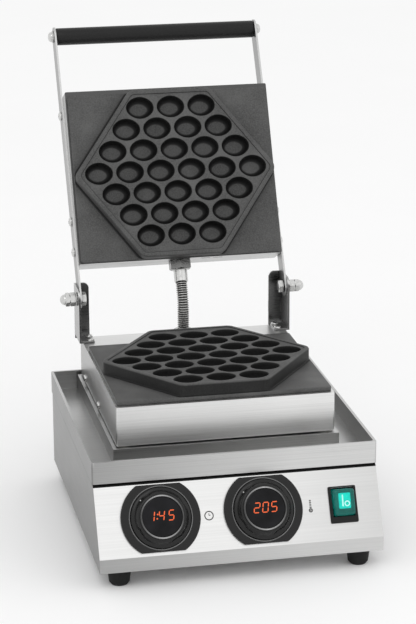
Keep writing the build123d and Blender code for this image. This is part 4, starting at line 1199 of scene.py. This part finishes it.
def add_switch():
    """The rocker's clear soft cover over its lit core and pale mark."""
    axis = Matrix.Translation((0, 0, -ROCKER_AXIS_DEPTH))
    tilt = axis @ Matrix.Rotation(radians(ROCKER_TILT), 4, "X") @ axis.inverted()
    place = panel_at(SWITCH_X, SWITCH_DROP - ROCKER_UP) @ tilt
    bm = bmesh.new()
    skin(bm, [cover_ring(*row) for row in ROCKER_SKIRT]
         + [cover_ring(*row, COVER_SHIFT) for row in COVER_PROFILE])
    finish_mesh("switch_cover", bm, place, "rocker_body", "rocker_green",
                ["power_rocker"], sharp=60)
    core = place @ Matrix.Translation((COVER_SHIFT + CORE_OFFSET[0], CORE_OFFSET[1], 0))
    bm = bmesh.new()
    skin(bm, [rounded_box(CORE_W / 2 - inset, CORE_L / 2 - inset, CORE_CORNER, z)
              for inset, z in CORE_PROFILE])
    finish_mesh("switch_core", bm, core, "rocker_body", "rocker_green", finish=AQUA)
    bm = bmesh.new()
    sheet(bm, MARK_BAR, MARK_Z, MARK_T)
    flat_ring(bm, *MARK_RING_R, MARK_Z, MARK_T, 40, Matrix.Translation((*MARK_RING_AT, 0)))
    finish_mesh("switch_mark", bm, core, "rocker_body", "rocker_green", finish=PALE)


# Stage, light and camera, in metres and degrees

CAMERA_PLACE = Vector((-0.4529, -2.2756, 0.9255))
CAMERA_AZIMUTH = 11.58
CAMERA_DOWN = 17.22
CAMERA_ROLL = -0.27
CAMERA_LENS = 131.9
FLOOR_HALF = 40.0
# Place, size and power of each lamp
LAMPS = {"key": (Vector((-0.7, -1.8, 2.6)), 1.4, 7.0), "fill": (Vector((1.6, -1.4, 1.6)), 1.6, 2.0)}
LAMP_AIM = Vector((0, 0, 0.2))


def add_floor():
    """A large pale floor."""
    made, tree, shader = material("floor_paper", (0.93, 0.93, 0.93), 0.0, 0.9)
    colour = ramp(tree, noise(tree, (3, 3, 3)), grey(0.925), grey(0.935))
    tree.links.new(colour, shader.inputs["Base Color"])
    shader.inputs["Specular IOR Level"].default_value = 0.0
    mesh = bpy.data.meshes.new("floor")
    corners = [(sx * FLOOR_HALF, sy * FLOOR_HALF, 0)
               for sx, sy in ((-1, -1), (1, -1), (1, 1), (-1, 1))]
    mesh.from_pydata(corners, [], [(0, 1, 2, 3)])
    mesh.materials.append(made)
    floor = bpy.data.objects.new("floor", mesh)
    scene.collection.objects.link(floor)


def add_light():
    """White surroundings and two soft lamps."""
    scene.world = bpy.data.worlds.new("studio")
    scene.world.use_nodes = True
    back = scene.world.node_tree.nodes["Background"]
    back.inputs["Color"].default_value = (1, 1, 1, 1)
    for name, (place, size, power) in LAMPS.items():
        data = bpy.data.lights.new(name, "AREA")
        data.size = size
        data.energy = power
        lamp = bpy.data.objects.new(name, data)
        scene.collection.objects.link(lamp)
        aim = (LAMP_AIM - place).to_track_quat("-Z", "Y").to_matrix().to_4x4()
        lamp.matrix_world = Matrix.Translation(place) @ aim


def add_camera():
    """The photograph's camera, solved from the plates' cells."""
    data = bpy.data.cameras.new("photo_camera")
    data.lens = CAMERA_LENS
    data.sensor_width = 36.0
    data.clip_end = 50
    camera = bpy.data.objects.new("photo_camera", data)
    scene.collection.objects.link(camera)
    turn = (Matrix.Rotation(radians(-CAMERA_AZIMUTH), 4, "Z")
            @ Matrix.Rotation(radians(90 - CAMERA_DOWN), 4, "X")
            @ Matrix.Rotation(radians(CAMERA_ROLL), 4, "Z"))
    camera.matrix_world = Matrix.Translation(CAMERA_PLACE) @ turn
    scene.camera = camera


for row in frame["record"]["subparts"]:
    paint_node(row["node"], MATERIALS[row["material_slot"]])
paint_node("lid_housing", LID_STEEL)
paint_node("lower_housing", HOUSING_STEEL)
for name in ("arm_left", "arm_right"):
    paint_node(name, ARM_STEEL)
for name in ("body_housing", "drip_tray", "lower_housing", "lid_housing", "bottom_plate"):
    soften(name, SHEET_ROUND)
for name in ("arm_left", "arm_right", "hinge_bracket_left", "hinge_bracket_right",
             "timer_escutcheon", "temperature_escutcheon", "switch_bezel", "cable_gland",
             "terminal_block", "control_board"):
    soften(name, SMALL_ROUND)
add_plates()
add_hose()
add_fittings()
cross = cross_head()
for name, node, body, axis in (("arm_screw_set", "arm_screws", "lid", 0),
                               ("housing_screw_set", "housing_screws", "base", 0),
                               ("bracket_screw_set", "bracket_screws", "base", 2)):
    add_screws(name, node, body, axis, cross)
add_hinge_hardware()
add_bracket_flanges()
add_handle()
for name, x in zip(("timer", "temperature"), KNOB_X):
    add_knob(name, x, name + "_knob_body")
for x, number in zip(KNOB_X, NUMBERS):
    add_number(x, *number)
add_clock_sign()
add_thermometer_sign()
add_switch()
add_floor()
add_light()
add_camera()
scene.view_settings.view_transform = "Standard"
